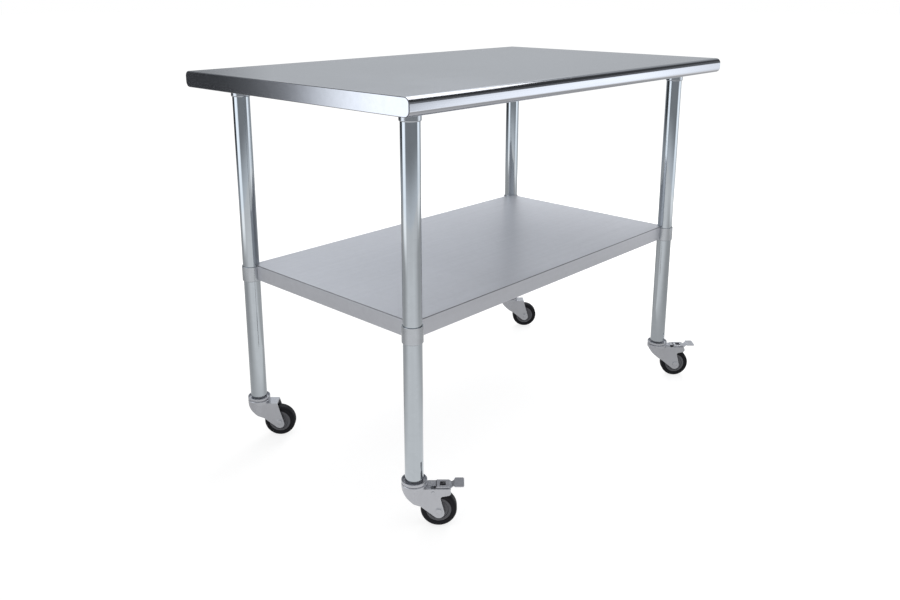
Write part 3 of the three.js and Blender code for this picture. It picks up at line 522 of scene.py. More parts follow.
def combined(piece, operation, *tools):
    """Joins, cuts or keeps the overlap with other solids, which are used up"""
    for tool in tools:
        step = piece.modifiers.new(operation, "BOOLEAN")
        step.operation, step.solver, step.object = operation, "EXACT", tool
    settle(piece)
    for tool in tools:
        mesh = tool.data
        bpy.data.objects.remove(tool)
        bpy.data.meshes.remove(mesh)
    if len(piece.data.polygons) == 0:
        raise RuntimeError(f"{operation} left nothing of {piece.name}")
    return piece


def joined(first, *others):
    return combined(first, "UNION", *others)


def cut(first, *others):
    return combined(first, "DIFFERENCE", *others)


def common(first, *others):
    return combined(first, "INTERSECT", *others)


def softened(piece, width, limit=50, segments=2):
    """Rounds the sharp edges"""
    step = piece.modifiers.new("Edges", "BEVEL")
    step.width, step.segments = width, segments
    step.limit_method, step.angle_limit = "ANGLE", math.radians(limit)
    return settle(piece)


def shaded(piece, sharp=38):
    """Smooth shading that keeps flat faces flat and hard edges hard"""
    piece.data.shade_smooth()
    piece.data.set_sharp_from_angle(angle=math.radians(sharp))
    step = piece.modifiers.new("Flat faces", "WEIGHTED_NORMAL")
    step.keep_sharp = True
    return settle(piece)


def dressed(piece, finish):
    piece.data.materials.clear()
    piece.data.materials.append(bpy.data.materials[finish])
    return piece


def stand_in(piece, node, place=None):
    """Puts a piece where its CAD node is, checks its size against the node and ties it to the node's body"""
    piece.name = f"{node}_look"
    piece.matrix_world = place if place is not None else Matrix.Identity(4)
    bpy.context.view_layer.update()
    spots = [piece.matrix_world @ v.co for v in piece.data.vertices]
    for side, corner in zip((min, max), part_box(node)):
        for i in range(3):
            miss = side(spot[i] for spot in spots) - corner[i]
            if abs(miss) > FIT:
                raise RuntimeError(f"{piece.name} misses its node by {1000 * miss:.2f} mm on axis {i}")
    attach(piece, BODY_OF[node])
    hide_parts(node)
    return piece


def repeated(piece, kind, places):
    """One piece at each corner, all sharing the first one's mesh"""
    for i, (corner, place) in enumerate(places.items()):
        copy = piece if i == 0 else placed(kind, piece.data)
        stand_in(copy, f"{kind}_{corner}", place)


def leg_places():
    """Where each corner's leg stands, with +X and +Y turned inward"""
    places = {}
    for corner in CORNERS:
        low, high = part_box(f"leg_{corner}")
        middle = (low + high) / 2
        turn = math.atan2(-middle.y, -middle.x)
        turn = math.radians(90 * round(math.degrees(turn - math.pi / 4) / 90))
        places[corner] = Matrix.Translation((middle.x, middle.y, 0)) @ Matrix.Rotation(turn, 4, "Z")
    return places


def caster_places(corners=CORNERS):
    """Each caster's place on the floor, with +X along its trail and +Y along its axle"""
    places = {}
    for corner in corners:
        axis = Vector(JOINTS[f"wheel_spin_{corner}"]["axis"])
        x, y, _ = JOINTS[f"swivel_{corner}"]["pos_m"]
        places[corner] = Matrix(
            ((axis.y, axis.x, 0, x), (-axis.x, axis.y, 0, y), (0, 0, 1, 0), (0, 0, 0, 1)))
    return places


def caster_sizes():
    """Sizes that the CAD frame gives: the wheel's radius, its trail and the leg's radius"""
    low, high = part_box("tyre_front_left")
    swivel = Vector(JOINTS["swivel_front_left"]["pos_m"])
    wheel = Vector(JOINTS["wheel_spin_front_left"]["pos_m"])
    leg_low, leg_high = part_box("leg_front_left")
    return (high.z - low.z) / 2, (wheel - swivel).xy.length, (leg_high.x - leg_low.x) / 2


# Nodes of the finishes


class Nodes:
    """Adds nodes to a tree and links them"""

    def __init__(self, tree):
        self.tree = tree

    def add(self, kind, inputs=None, **settings):
        node = self.tree.nodes.new("ShaderNode" + kind)
        for name, value in settings.items():
            setattr(node, name, value)
        for name, value in (inputs or {}).items():
            socket = node.inputs[name]
            if isinstance(value, bpy.types.NodeSocket):
                self.link(value, socket)
            else:
                socket.default_value = value
        return node

    def maths(self, operation, *values, clamp=False):
        return self.add("Math", dict(enumerate(values)), operation=operation, use_clamp=clamp).outputs[0]

    def between(self, value, low, high, to_low=0.0, to_high=1.0, smooth=False):
        return self.add(
            "MapRange",
            {"Value": value, "From Min": low, "From Max": high, "To Min": to_low, "To Max": to_high},
            interpolation_type="SMOOTHSTEP" if smooth else "LINEAR").outputs["Result"]

    def blend(self, share, first, second):
        node = self.add("Mix", {0: share, 6: first, 7: second}, data_type="RGBA")
        return node.outputs[2]

    def effect(self, name, inputs):
        return self.add("Group", inputs, node_tree=bpy.data.node_groups[name])

    def link(self, value, socket):
        self.tree.links.new(value, socket)


def fresh_nodes(owner):
    """The emptied node tree of a material or world"""
    owner.use_nodes = True
    owner.node_tree.nodes.clear()
    return Nodes(owner.node_tree)


def new_effect(name, inputs, outputs):
    """An empty node group with named inputs and outputs, and the sockets at its two ends"""
    tree = bpy.data.node_groups.new(name, "ShaderNodeTree")
    for title, (kind, value) in inputs.items():
        socket = tree.interface.new_socket(title, in_out="INPUT", socket_type="NodeSocket" + kind)
        socket.default_value = value
    for title in outputs:
        tree.interface.new_socket(title, in_out="OUTPUT", socket_type="NodeSocketFloat")
    start, end = tree.nodes.new("NodeGroupInput"), tree.nodes.new("NodeGroupOutput")
    return Nodes(tree), start.outputs, end.inputs


def make_effects():
    """The effects that several finishes share; each gives out only plain values"""
    g, given, out = new_effect(
        "brushed_grain", {"Stretch": ("Vector", (4.0, 600.0, 600.0))}, ("Grain", "Streaks"))
    place = g.add("TexCoord").outputs["Object"]
    fine = g.add("VectorMath", {0: place, 1: given["Stretch"]}, operation="MULTIPLY").outputs[0]
    broad = g.add("VectorMath", {0: fine, 1: (0.35, 0.12, 0.12)}, operation="MULTIPLY").outputs[0]
    grain = g.add("TexNoise", {"Vector": fine, "Scale": 1.0, "Detail": 3.0, "Roughness": 0.6})
    streaks = g.add("TexNoise", {"Vector": broad, "Scale": 1.0, "Detail": 2.0})
    g.link(grain.outputs[0], out["Grain"])
    g.link(streaks.outputs[0], out["Streaks"])

    g, given, out = new_effect(
        "handling_marks", {"Size": ("Float", 5.0), "Amount": ("Float", 0.5)}, ("Smears", "Scuffs"))
    place = g.add("TexCoord").outputs["Object"]
    cloud = g.add("TexNoise", {"Vector": place, "Scale": given["Size"], "Detail": 5.0, "Distortion": 0.6})
    smears = g.between(cloud.outputs[0], 0.48, 0.72, smooth=True)
    g.link(g.maths("MULTIPLY", smears, given["Amount"], clamp=True), out["Smears"])
    fine = g.add("TexNoise", {"Vector": place, "Scale": 140.0, "Detail": 2.0, "Distortion": 2.5})
    scuffs = g.maths("MULTIPLY", g.between(fine.outputs[0], 0.62, 0.7, smooth=True), smears)
    g.link(g.maths("MULTIPLY", scuffs, given["Amount"], clamp=True), out["Scuffs"])

    g, given, out = new_effect("zinc_spangle", {"Size": ("Float", 90.0)}, ("Tone",))
    place = g.add("TexCoord").outputs["Object"]
    cloud = g.add("TexNoise", {"Vector": place, "Scale": 40.0, "Detail": 2.0}).outputs["Color"]
    shifted = g.add(
        "VectorMath", {0: cloud, 1: (0.008, 0.008, 0.008), 2: place}, operation="MULTIPLY_ADD")
    cells = g.add("TexVoronoi", {"Vector": shifted.outputs[0], "Scale": given["Size"]})
    g.link(g.add("RGBToBW", {0: cells.outputs["Color"]}).outputs[0], out["Tone"])

    g, given, out = new_effect(
        "moulded_grain", {"Size": ("Float", 700.0), "Depth": ("Float", 1.0)}, ("Height", "Tone"))
    place = g.add("TexCoord").outputs["Object"]
    cells = g.add("TexVoronoi", {"Vector": place, "Scale": given["Size"]}, feature="SMOOTH_F1")
    waves = g.add("TexNoise", {"Vector": place, "Scale": 60.0, "Detail": 4.0}).outputs[0]
    height = g.maths("ADD", cells.outputs["Distance"], waves)
    g.link(g.maths("MULTIPLY", height, given["Depth"]), out["Height"])
    g.link(waves, out["Tone"])


def start_finish(name, base, metallic):
    """A new material; gives its nodes and the inputs of its surface"""
    if name in bpy.data.materials:
        raise RuntimeError(f"There is already a material called {name}")
    material = bpy.data.materials.new(name)
    g = fresh_nodes(material)
    surface = g.add("BsdfPrincipled", {"Metallic": metallic})
    g.add("OutputMaterial", {"Surface": surface.outputs[0]})
    material.diffuse_color = (*base, 1.0)
    return g, surface.inputs


def shade(base, share):
    """A colour made darker or lighter, opaque"""
    return (*(min(1.0, part * share) for part in base), 1.0)


def mottled(g, tone, base, share):
    """The base colour, darker and lighter by that share as the tone goes from 0 to 1"""
    return g.blend(tone, shade(base, 1 - share), shade(base, 1 + share))


def add_relief(g, surface, height, strength, depth):
    relief = g.add("Bump", {"Height": height, "Strength": strength, "Distance": depth})
    g.link(relief.outputs[0], surface["Normal"])


def make_metal(
        name, base, rough, grain=(4.0, 600.0, 600.0), lines=0.0, marks=0.3, spangle=0.0, size=90.0,
        bump=0.05, metallic=1.0, bends=0.0, fold="Z"):
    """A metal with drawn or brushed lines, handling marks and zinc spangle, each as strong as asked

    Bends is the strength of a painted dark reflection, a line where the sheet bends over; above 1 it also widens.
    It lies where the surface turns away from the fold axis: at both ends for X, at the top alone for Z."""
    g, surface = start_finish(name, base, metallic)
    brushed = g.effect("brushed_grain", {"Stretch": grain})
    handled = g.effect("handling_marks", {"Size": 4.0, "Amount": marks})
    tone = brushed.outputs["Streaks"]
    if spangle:
        zinc = g.effect("zinc_spangle", {"Size": size})
        tone = g.blend(spangle, brushed.outputs["Streaks"], zinc.outputs["Tone"])
    skin = mottled(g, tone, base, 0.06)
    # Painted dark reflection: a dark line painted into the colour where the sheet bends over
    if bends:
        facing = g.add("SeparateXYZ", {0: g.add("TexCoord").outputs["Normal"]}).outputs[fold]
        if fold == "X":
            facing = g.maths("ABSOLUTE", facing)
        bent = g.maths("MULTIPLY", g.between(facing, *PAINTED_REFLECTION_IN, smooth=True), g.between(facing, *PAINTED_REFLECTION_OUT))
        skin = g.blend(g.maths("MULTIPLY", bent, bends, clamp=True), skin, shade(base, PAINTED_BEND_REFLECTION))
    g.link(skin, surface["Base Color"])
    swing = rough * lines / 2
    rough = g.between(brushed.outputs["Grain"], *GRAIN_RANGE, rough - swing, rough + swing)
    rough = g.maths("MULTIPLY_ADD", handled.outputs["Smears"], SMEAR_ROUGH, rough)
    rough = g.maths("MULTIPLY_ADD", handled.outputs["Scuffs"], SCUFF_ROUGH, rough)
    g.link(rough, surface["Roughness"])
    if bump:
        height = g.maths("MULTIPLY_ADD", handled.outputs["Scuffs"], SCUFF_DENT, brushed.outputs["Grain"])
        add_relief(g, surface, height, bump, METAL_DEPTH)


def make_cast(name, base, rough):
    """Cast metal with an uneven skin"""
    g, surface = start_finish(name, base, 1.0)
    skin = g.effect("moulded_grain", {"Size": 900.0, "Depth": 1.0})
    handled = g.effect("handling_marks", {"Size": 30.0, "Amount": 0.5})
    g.link(mottled(g, skin.outputs["Tone"], base, 0.08), surface["Base Color"])
    rough = g.maths("MULTIPLY_ADD", handled.outputs["Smears"], CAST_SMEAR_ROUGH, rough)
    g.link(rough, surface["Roughness"])
    add_relief(g, surface, skin.outputs["Height"], 0.04, METAL_DEPTH)


def make_moulding(name, base, rough, size, strength, shine):
    """Moulded plastic or rubber, paler where it is scuffed"""
    g, surface = start_finish(name, base, 0.0)
    skin = g.effect("moulded_grain", {"Size": size, "Depth": 1.0})
    handled = g.effect("handling_marks", {"Size": 40.0, "Amount": 0.6})
    toned = mottled(g, skin.outputs["Tone"], base, 0.1)
    scuffed = g.maths("MULTIPLY", handled.outputs["Scuffs"], 0.4)
    g.link(g.blend(scuffed, toned, shade(base, 2.0)), surface["Base Color"])
    rough = g.maths("MULTIPLY_ADD", handled.outputs["Smears"], MOULDED_SMEAR_ROUGH, rough)
    g.link(rough, surface["Roughness"])
    surface["Specular IOR Level"].default_value = shine
    add_relief(g, surface, skin.outputs["Height"], strength, MOULDED_DEPTH)


# Pieces


def make_rolled_box(half_length, half_depth, low, high, roll, bend):
    """A box whose long edges are rolled round and whose ends turn down over a small bend"""
    rings = []
    for side in (-1, 1):
        turns = [math.pi / 2 * i / ARC_STEPS for i in range(ARC_STEPS + 1)]
        for turn in turns[::-1] if side < 0 else turns:
            inset = bend * (1 - math.cos(turn))
            radius = roll - inset
            across, floor, ceiling = half_depth - roll, low + roll, high - roll
            ring = []
            for quarter, centre in enumerate(
                    ((across, ceiling), (-across, ceiling), (-across, floor), (across, floor))):
                start = quarter * math.pi / 2
                ring += arc(centre, radius, start, start + math.pi / 2, 2 * ARC_STEPS)
            x = side * (half_length - bend + bend * math.sin(turn))
            rings.append([(x, y, z) for y, z in ring])
    count = len(rings[0])
    faces = [tuple(range(count)), tuple(range((len(rings) - 1) * count, len(rings) * count))]
    for i in range(len(rings) - 1):
        near, far = i * count, (i + 1) * count
        faces += [
            (near + j, near + (j + 1) % count, far + (j + 1) % count, far + j) for j in range(count)]
    return make_solid("rolled_box", [spot for ring in rings for spot in ring], faces)


def build_worktop(scene):
    s = scene.table_sheets
    low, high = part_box("worktop")
    half_length, half_depth = high.x, high.y
    outside = make_rolled_box(half_length, half_depth, low.z, high.z, s.roll, s.end_bend)
    inside = make_rolled_box(
        half_length - s.sheet, half_depth - s.sheet, low.z + s.sheet, high.z - s.sheet, s.roll - s.sheet,
        s.end_bend - s.sheet)
    mouth = block(
        (-half_length + s.top_lip, -half_depth + s.top_lip, low.z - OVERRUN),
        (half_length - s.top_lip, half_depth - s.top_lip, (low.z + high.z) / 2))
    worktop = shaded(cut(outside, inside, mouth))
    stand_in(dressed(worktop, "brushed_stainless"), "worktop")


def build_undershelf(scene):
    s, legs = scene.table_sheets, scene.table_legs
    low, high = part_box("undershelf")
    _, _, leg_radius = caster_sizes()
    bore = leg_radius + SLIDE_GAP
    ring_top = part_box("shelf_socket_front_left")[1].z
    sheet = Vector((s.sheet,) * 3)
    outside = softened(block(low, high), s.shelf_bend, segments=ARC_STEPS)
    inside = softened(block(low + sheet, high - sheet), s.shelf_bend - s.sheet, segments=ARC_STEPS)
    lip = Vector((s.shelf_lip, s.shelf_lip, 0))
    mouth = block(
        low + lip - Vector((0, 0, OVERRUN)), (high.x - lip.x, high.y - lip.y, (low.z + high.z) / 2))
    cutters = [inside, mouth]
    for place in leg_places().values():
        x, y, _ = place.translation
        cutters.append(moved(bar(bore, low.z - OVERRUN, high.z + OVERRUN), x, y))
        ring = bore + legs.ring_wall + SEAT_GAP
        cutters.append(moved(bar(ring, low.z - OVERRUN, ring_top + SEAT_GAP), x, y))
    shelf = shaded(cut(outside, *cutters))
    stand_in(dressed(shelf, "satin_sheet"), "undershelf")


def build_legs(scene):
    legs = scene.table_legs
    low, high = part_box("leg_front_left")
    _, _, radius = caster_sizes()
    bore = radius - legs.wall
    outline = [(bore, low.z), (radius, low.z), (radius, high.z), (bore, high.z)]
    leg = shaded(turned(rounded(outline, SEAT_GAP)))
    repeated(dressed(leg, "drawn_tube"), "leg", leg_places())


def build_sockets(scene):
    legs, s = scene.table_legs, scene.table_sheets
    _, _, leg_radius = caster_sizes()
    low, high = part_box("leg_socket_front_left")
    bore, flange_radius = leg_radius + SEAT_GAP, (high.x - low.x) / 2
    radius, flange = bore + legs.socket_wall, high.z - legs.flange
    cup = turned(rounded([
        (0, flange), (bore, flange), (bore, low.z), (radius - legs.chamfer / 2, low.z),
        (radius, low.z + legs.chamfer), (radius, flange, legs.socket_wall), (flange_radius, flange),
        (flange_radius, high.z), (0, high.z),
    ], SEAT_GAP, closed=False))
    hole = legs.screw / 2 + SEAT_GAP
    cup = cut(cup, inward_bar(hole, leg_radius / 2, radius + OVERRUN, low.z + legs.screw_rise))
    repeated(dressed(shaded(cup), "cast_metal"), "leg_socket", leg_places())

    low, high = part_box("shelf_socket_front_left")
    shelf_low, shelf_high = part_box("undershelf")
    middle = (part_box("leg_front_left")[0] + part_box("leg_front_left")[1]) / 2
    bore = leg_radius + SLIDE_GAP
    radius = bore + legs.ring_wall
    ring = turned(rounded([
        (bore, low.z), (radius - legs.ring_chamfer, low.z), (radius, low.z + legs.ring_chamfer),
        (radius, high.z), (bore, high.z),
    ], 2 * SEAT_GAP))
    face, reach = shelf_low.x - middle.x + s.sheet + SEAT_GAP, radius + legs.wing
    margin = s.sheet + 2 * legs.ring_chamfer
    wing_low, wing_high = shelf_low.z + margin, shelf_high.z - margin
    wings = [
        softened(block(start, end), SEAT_GAP) for start, end in (
            ((leg_radius, face, wing_low), (reach, face + legs.wing_sheet, wing_high)),
            ((face, leg_radius, wing_low), (face + legs.wing_sheet, reach, wing_high)))
    ]
    screw_height = (shelf_low.z + shelf_high.z) / 2
    boss = inward_bar(legs.boss / 2, leg_radius, radius + legs.boss_reach, screw_height)
    socket = cut(
        joined(ring, *wings, boss), bar(bore, low.z - OVERRUN, high.z + OVERRUN),
        inward_bar(hole, leg_radius / 2, reach, screw_height))
    repeated(dressed(shaded(socket), "cast_metal"), "shelf_socket", leg_places())


def crown_heights(scene):
    """Heights of the cheeks' top and of the crown's top"""
    f = scene.table_forks
    wheel, _, _ = caster_sizes()
    cheek = 2 * wheel + f.clearance
    return cheek, cheek + f.rise


def build_swivels(scene):
    f, legs = scene.table_forks, scene.table_legs
    _, _, leg_radius = caster_sizes()
    low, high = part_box("caster_stem_front_left")
    cup_low, cup_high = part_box("swivel_cup_front_left")
    leg_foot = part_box("leg_front_left")[0].z
    kingpin, head = f.kingpin / 2, low.z + f.kingpin_head
    head_radius = kingpin + f.kingpin_rim
    collar, plug = leg_radius - f.collar_inset, leg_radius - legs.wall - SEAT_GAP
    collar_foot, edge = cup_low.z + f.cup_sheet + SEAT_GAP, 3 * SEAT_GAP
    stem = turned(rounded([
        (0, low.z), (head_radius, low.z, edge), (head_radius, head, edge), (kingpin, head),
        (kingpin, collar_foot), (collar, collar_foot, edge), (collar, leg_foot - SEAT_GAP),
        (plug, leg_foot - SEAT_GAP), (plug, high.z, edge), (0, high.z),
    ], 0, closed=False))
    repeated(dressed(shaded(stem), "turned_steel"), "caster_stem", caster_places())

    bore, rim = kingpin + SLIDE_GAP, (cup_high.x - cup_low.x) / 2
    lip = RIM_ROUNDING * f.cup_sheet
    cup = turned(rounded([
        (bore, cup_low.z, 0), (rim - f.cup_flare, cup_low.z, f.cup_flare),
        (rim, cup_low.z + f.cup_flare, f.cup_flare), (rim, cup_high.z, lip),
        (rim - f.cup_sheet, cup_high.z, lip),
        (rim - f.cup_sheet - f.cup_flare, cup_low.z + f.cup_sheet, f.cup_flare),
        (bore, cup_low.z + f.cup_sheet, 0),
    ], 0))
    repeated(dressed(shaded(cup), "plated_zinc"), "swivel_cup", caster_places())


def fork_plan(f, inset, back):
    """The fork seen from above: a round crown drawn in to two flat cheeks"""
    half = f.gap / 2 + f.sheet - inset
    crown = arc((0, 0), f.crown / 2 - inset, math.pi / 2, 1.5 * math.pi, ROUND_STEPS // 2)
    return [(back + inset, -half), (back + inset, half), (f.taper, half), *crown, (f.taper, -half)]


def touching_angle(centre, radius, point, side):
    """The angle on a circle where a straight edge from a point outside meets it smoothly"""
    gap = Vector(point) - Vector(centre)
    return math.atan2(gap.y, gap.x) + side * math.acos(radius / gap.length)


def fork_side(f, wheel, trail, cheek, braked):
    """A cheek seen from the side: a slanted front, a round tip and, on a braked fork, a horn behind"""
    def at(shares):
        return shares[0] * trail, shares[1] * cheek

    tip = (trail, wheel - f.tip_drop)
    elbow = at(FRONT_ELBOW)
    behind = at(HORN_FOOT if braked else PLAIN_BACK)
    start, end = touching_angle(tip, f.tip, elbow, 1), touching_angle(tip, f.tip, behind, -1)
    outline = [(-f.crown / 2 - OVERRUN, cheek)]
    outline += curved(at(FRONT_TOP), at(FRONT_PULL), elbow, 2 * ARC_STEPS)
    outline += arc(tip, f.tip, start - 2 * math.pi if start > end else start, end, 4 * ARC_STEPS)
    outline.append(behind)
    if braked:
        outline += curved(behind, at(HORN_PULL), at(HORN_BELLY), 2 * ARC_STEPS)[1:]
        outline += curved(at(HORN_LIP), at(TIP_PULL), at(HORN_TIP), 2 * ARC_STEPS)
        outline.append(at(HORN_TOP))
    return outline


def brake_pin_place():
    """Where the brake's pin lies along the trail and above the floor, from its joint"""
    pin = Vector(JOINTS["brake_front_left"]["pos_m"])
    swivel = Vector(JOINTS["swivel_front_left"]["pos_m"])
    return (pin - swivel).xy.length, pin.z


def spring_places(b, trail):
    """Places along the trail of the spring's tip, hump and foot"""
    tip = trail - b.ahead - b.spring_gap
    hump_back = tip - b.spring_tip
    hump_front = hump_back - b.spring_hump
    foot_back = hump_front - b.spring_slope
    return tip, hump_back, hump_front, foot_back, foot_back - b.spring_foot


def build_fork(scene, braked):
    f, b = scene.table_forks, scene.table_brakes
    wheel, trail, _ = caster_sizes()
    cheek, crown_top = crown_heights(scene)
    sheet_foot, crown = cheek - f.sheet, f.crown / 2
    outside, inside = f.gap / 2 + f.sheet, f.gap / 2
    back = trail + wheel
    body = common(
        prism(fork_plan(f, 0, back), 0, cheek),
        prism(fork_side(f, wheel, trail, cheek, braked), -f.crown, f.crown, "Y"))
    dome = turned(rounded([
        (0, sheet_foot), (crown, sheet_foot), (crown, crown_top, 2 * f.crown_edge), (0, crown_top),
    ], 0, closed=False, steps=ARC_STEPS))
    edge = f.boss_rise
    bosses = moved(turned(rounded([
        (0, -outside - edge), (f.boss / 2, -outside - edge, edge), (f.boss / 2, outside + edge, edge),
        (0, outside + edge),
    ], 0, closed=False), SMALL_STEPS, "Y"), trail, 0, wheel)
    throat = prism(fork_plan(f, f.sheet, back), -OVERRUN, sheet_foot)
    hollow = common(
        prism(fork_plan(f, f.sheet, back), sheet_foot - OVERRUN, crown_top - f.sheet),
        bar(crown - f.sheet, 0, crown_top))
    reach = outside + OVERRUN
    axle_bore = scene.table_wheels.axle / 2 + SEAT_GAP
    cutters = [
        throat, hollow, bar(f.kingpin / 2 + SLIDE_GAP, sheet_foot, crown_top + OVERRUN),
        moved(bar(axle_bore, -reach, reach, SMALL_STEPS, "Y"), trail, 0, wheel),
    ]
    if braked:
        _, _, _, foot_back, front = spring_places(b, trail)
        rivet_x = (front + foot_back) / 2
        pin_x, pin_z = brake_pin_place()
        low = cheek - 2 * f.sheet
        cutters += [
            block((foot_back + b.spring_foot_margin, -inside, low), (back, inside, cheek + OVERRUN)),
            moved(bar(b.pin / 2 + SEAT_GAP, -reach, reach, SMALL_STEPS, "Y"), pin_x, 0, pin_z),
            moved(bar(b.rivet / 2 + SEAT_GAP, low, cheek + OVERRUN, SMALL_STEPS), rivet_x),
        ]
    return cut(joined(body, dome, bosses), *cutters)


def build_forks(scene):
    for braked in (True, False):
        places = caster_places([corner for corner in CORNERS if (corner in BRAKED) == braked])
        fork = dressed(shaded(softened(build_fork(scene, braked), SEAT_GAP)), "plated_zinc")
        repeated(fork, "caster_fork", places)


def mirrored(face):
    """A turned outline that runs back and forth from one half of it"""
    return [(point[0], -point[1], *point[2:]) for point in face][::-1] + face


def wheel_places():
    wheel, trail, _ = caster_sizes()
    return {
        corner: place @ Matrix.Translation((trail, 0, wheel)) for corner, place in caster_places().items()
    }


def build_wheels(scene):
    w, f = scene.table_wheels, scene.table_forks
    radius, _, _ = caster_sizes()
    bore, side = w.core / 2, w.tyre_width / 2
    tyre = shaded(turned(rounded(mirrored([
        (radius, w.tread / 2, w.tread_round), (radius - w.shoulder, side, w.side_round),
        (bore, side - w.side_draw, w.side_draw / 3),
    ]), 0, steps=ARC_STEPS), 2 * ROUND_STEPS, "Y"))
    repeated(dressed(tyre, "black_rubber"), "tyre", wheel_places())

    rim, face, hub = bore - SEAT_GAP, w.core_width / 2, w.hub / 2
    inner = rim - w.rim
    sleeve = w.axle / 2 + SEAT_GAP + w.sleeve_wall + SLIDE_GAP
    hub_half, groove = w.hub_width / 2, w.groove
    core = shaded(turned(rounded(mirrored([
        (sleeve, hub_half, 0), (hub, hub_half, groove), (hub, face - w.dish, groove),
        (hub + 2 * groove, face - w.dish), (hub + 3 * groove, face - w.dish - groove),
        (hub + 4 * groove, face - w.dish), (inner - groove, face - w.dish / 2),
        (inner, face - w.dish), (inner + groove, face, groove / 2), (rim, face, groove),
    ][::-1]), groove / 4), ROUND_STEPS, "Y"))
    repeated(dressed(core, "grey_plastic"), "wheel_core", wheel_places())

    shaft, seat = w.axle / 2, f.gap / 2 + f.sheet + f.boss_rise + SEAT_GAP
    head = w.axle_head / 2
    axle = shaded(turned(mirrored([
        (shaft, seat), (head, seat), *domed(head, seat, w.axle_head_rise, 2 * ARC_STEPS),
    ]), SMALL_STEPS, "Y"))
    repeated(dressed(axle, "plated_zinc"), "axle", wheel_places())


def build_pedal(scene):
    b, f = scene.table_brakes, scene.table_forks
    wheel, trail, _ = caster_sizes()
    cheek, crown_top = crown_heights(scene)
    pin_x, pin_z = brake_pin_place()
    half = f.gap / 2 - b.side_gap
    front, bend = trail - b.ahead, trail + b.bend
    heel, web = bend + b.heel, cheek + b.rise
    pad_front, low, pad = heel + b.neck, cheek - b.heel_drop, cheek + b.pad_rise
    pad_back = pad_front + b.pad
    line = rounded(
        [(front, web), (bend, web), (heel, low), (pad_front, pad), (pad_back, pad)], 2 * b.sheet, False)
    strip = prism(bent_strip(line, b.sheet), -b.pad_half, b.pad_half, "Y")
    corner = b.pad_corner
    side = [
        (front - OVERRUN, half, 0), (heel, half, 0), (heel + corner / 2, b.neck_half),
        (pad_front - corner / 2, b.neck_half), (pad_front, b.pad_half), (pad_back, b.pad_half, corner),
    ]
    plan = rounded(side + [(x, -y, *rest) for x, y, *rest in side][::-1], corner / 4)
    top = common(strip, prism(plan, pin_z, crown_top + OVERRUN))
    start, half_window = trail + b.window_behind, b.window_half
    window = prism(
        rounded([
            (start, -half_window), (start + b.window, -half_window), (start + b.window, half_window),
            (start, half_window)], corner / 4), web - b.sheet, web + b.sheet)

    ear_start, ear_end = (math.radians(degrees) for degrees in EAR_ARC)
    ear = arc((pin_x, pin_z), b.ear, ear_start, ear_end, 2 * ARC_STEPS)
    ear += [
        (trail + b.ear_back, cheek - b.ear_drop), (heel - b.sheet, low), (bend, web), (front, web)]
    ears = cut(
        prism(ear, -half, half, "Y"), prism(ear, -half + b.sheet, half - b.sheet, "Y"))

    reach = wheel + SEAT_GAP
    shoe = block(
        (reach, -b.shoe_half, -b.shoe / 2), (reach + b.shoe_sheet, b.shoe_half, b.shoe / 2))
    shoe.data.transform(
        Matrix.Translation((pin_x, 0, pin_z)) @ Matrix.Rotation(-b.press, 4, "Y")
        @ Matrix.Translation((trail - pin_x, 0, wheel - pin_z)) @ Matrix.Rotation(-b.shoe_angle, 4, "Y"))
    spots = [v.co for v in shoe.data.vertices]
    middle = (min(spot.x for spot in spots) + max(spot.x for spot in spots)) / 2
    height = (min(spot.z for spot in spots) + max(spot.z for spot in spots)) / 2
    post = block(
        (middle - b.shoe_sheet / 2, -b.shoe_half, height), (middle + b.shoe_sheet / 2, b.shoe_half, web))
    pin = moved(
        bar(b.pin / 2 + SEAT_GAP, -f.gap, f.gap, SMALL_STEPS, "Y"), pin_x, 0, pin_z)
    return cut(joined(cut(top, window), ears, post, shoe), pin)


def build_brakes(scene):
    b, f = scene.table_brakes, scene.table_forks
    _, trail, _ = caster_sizes()
    cheek, _ = crown_heights(scene)
    places = caster_places(BRAKED)
    pedal = dressed(shaded(build_pedal(scene)), "plated_zinc")
    repeated(pedal, "brake_pedal", places)

    pin_x, pin_z = brake_pin_place()
    shaft, seat, head = b.pin / 2, f.gap / 2 + f.sheet + SEAT_GAP, b.pin_head / 2
    pin = moved(turned(mirrored([
        (shaft, seat), (head, seat), *domed(head, seat, b.pin_head_rise),
    ]), SMALL_STEPS, "Y"), pin_x, 0, pin_z)
    repeated(dressed(shaded(pin), "plated_zinc"), "brake_pin", places)

    tip, hump_back, hump_front, foot_back, front = spring_places(b, trail)
    foot = cheek + SEAT_GAP + b.spring / 2
    hump = foot + b.spring_rise
    line = rounded([
        (front, foot), (foot_back, foot), (hump_front, hump), (hump_back, hump),
        (tip, hump - b.spring_tip_drop)], b.spring, False)
    leaf = prism(bent_strip(line, b.spring), -b.spring_half, b.spring_half, "Y")
    low, high = cheek - f.sheet - SEAT_GAP, foot + b.spring / 2
    shank, head = b.rivet / 2, b.rivet_head / 2
    rivet = moved(turned([
        (0, low - b.rivet_rise), (CLOSED_END * head, low - b.rivet_rise), (head, low), (shank, low),
        (shank, high), (head, high), *domed(head, high, b.rivet_rise),
    ], SMALL_STEPS), (front + foot_back) / 2)
    spring = dressed(shaded(joined(leaf, rivet)), "plated_zinc")
    repeated(spring, "brake_spring", places)


def dress_hidden():
    """Finer finishes on the CAD pieces that are shown as they are"""
    kinds = {
        "channel": ("spangled_channel", "galvanised_channel"),
        "screw": ("turned_steel", "plain_steel"),
        "hub_sleeve": ("turned_steel", "plain_steel"),
    }
    for node, piece in frame["nodes"].items():
        for word, (finish, slot) in kinds.items():
            if word in node and not piece.hide_render:
                dressed(piece, finish)


# Studio


def only_reflected(piece):
    """Hides a piece from all rays but those that the metal reflects"""
    piece.visible_camera = piece.visible_diffuse = piece.visible_shadow = False
    piece.visible_transmission = piece.visible_volume_scatter = False


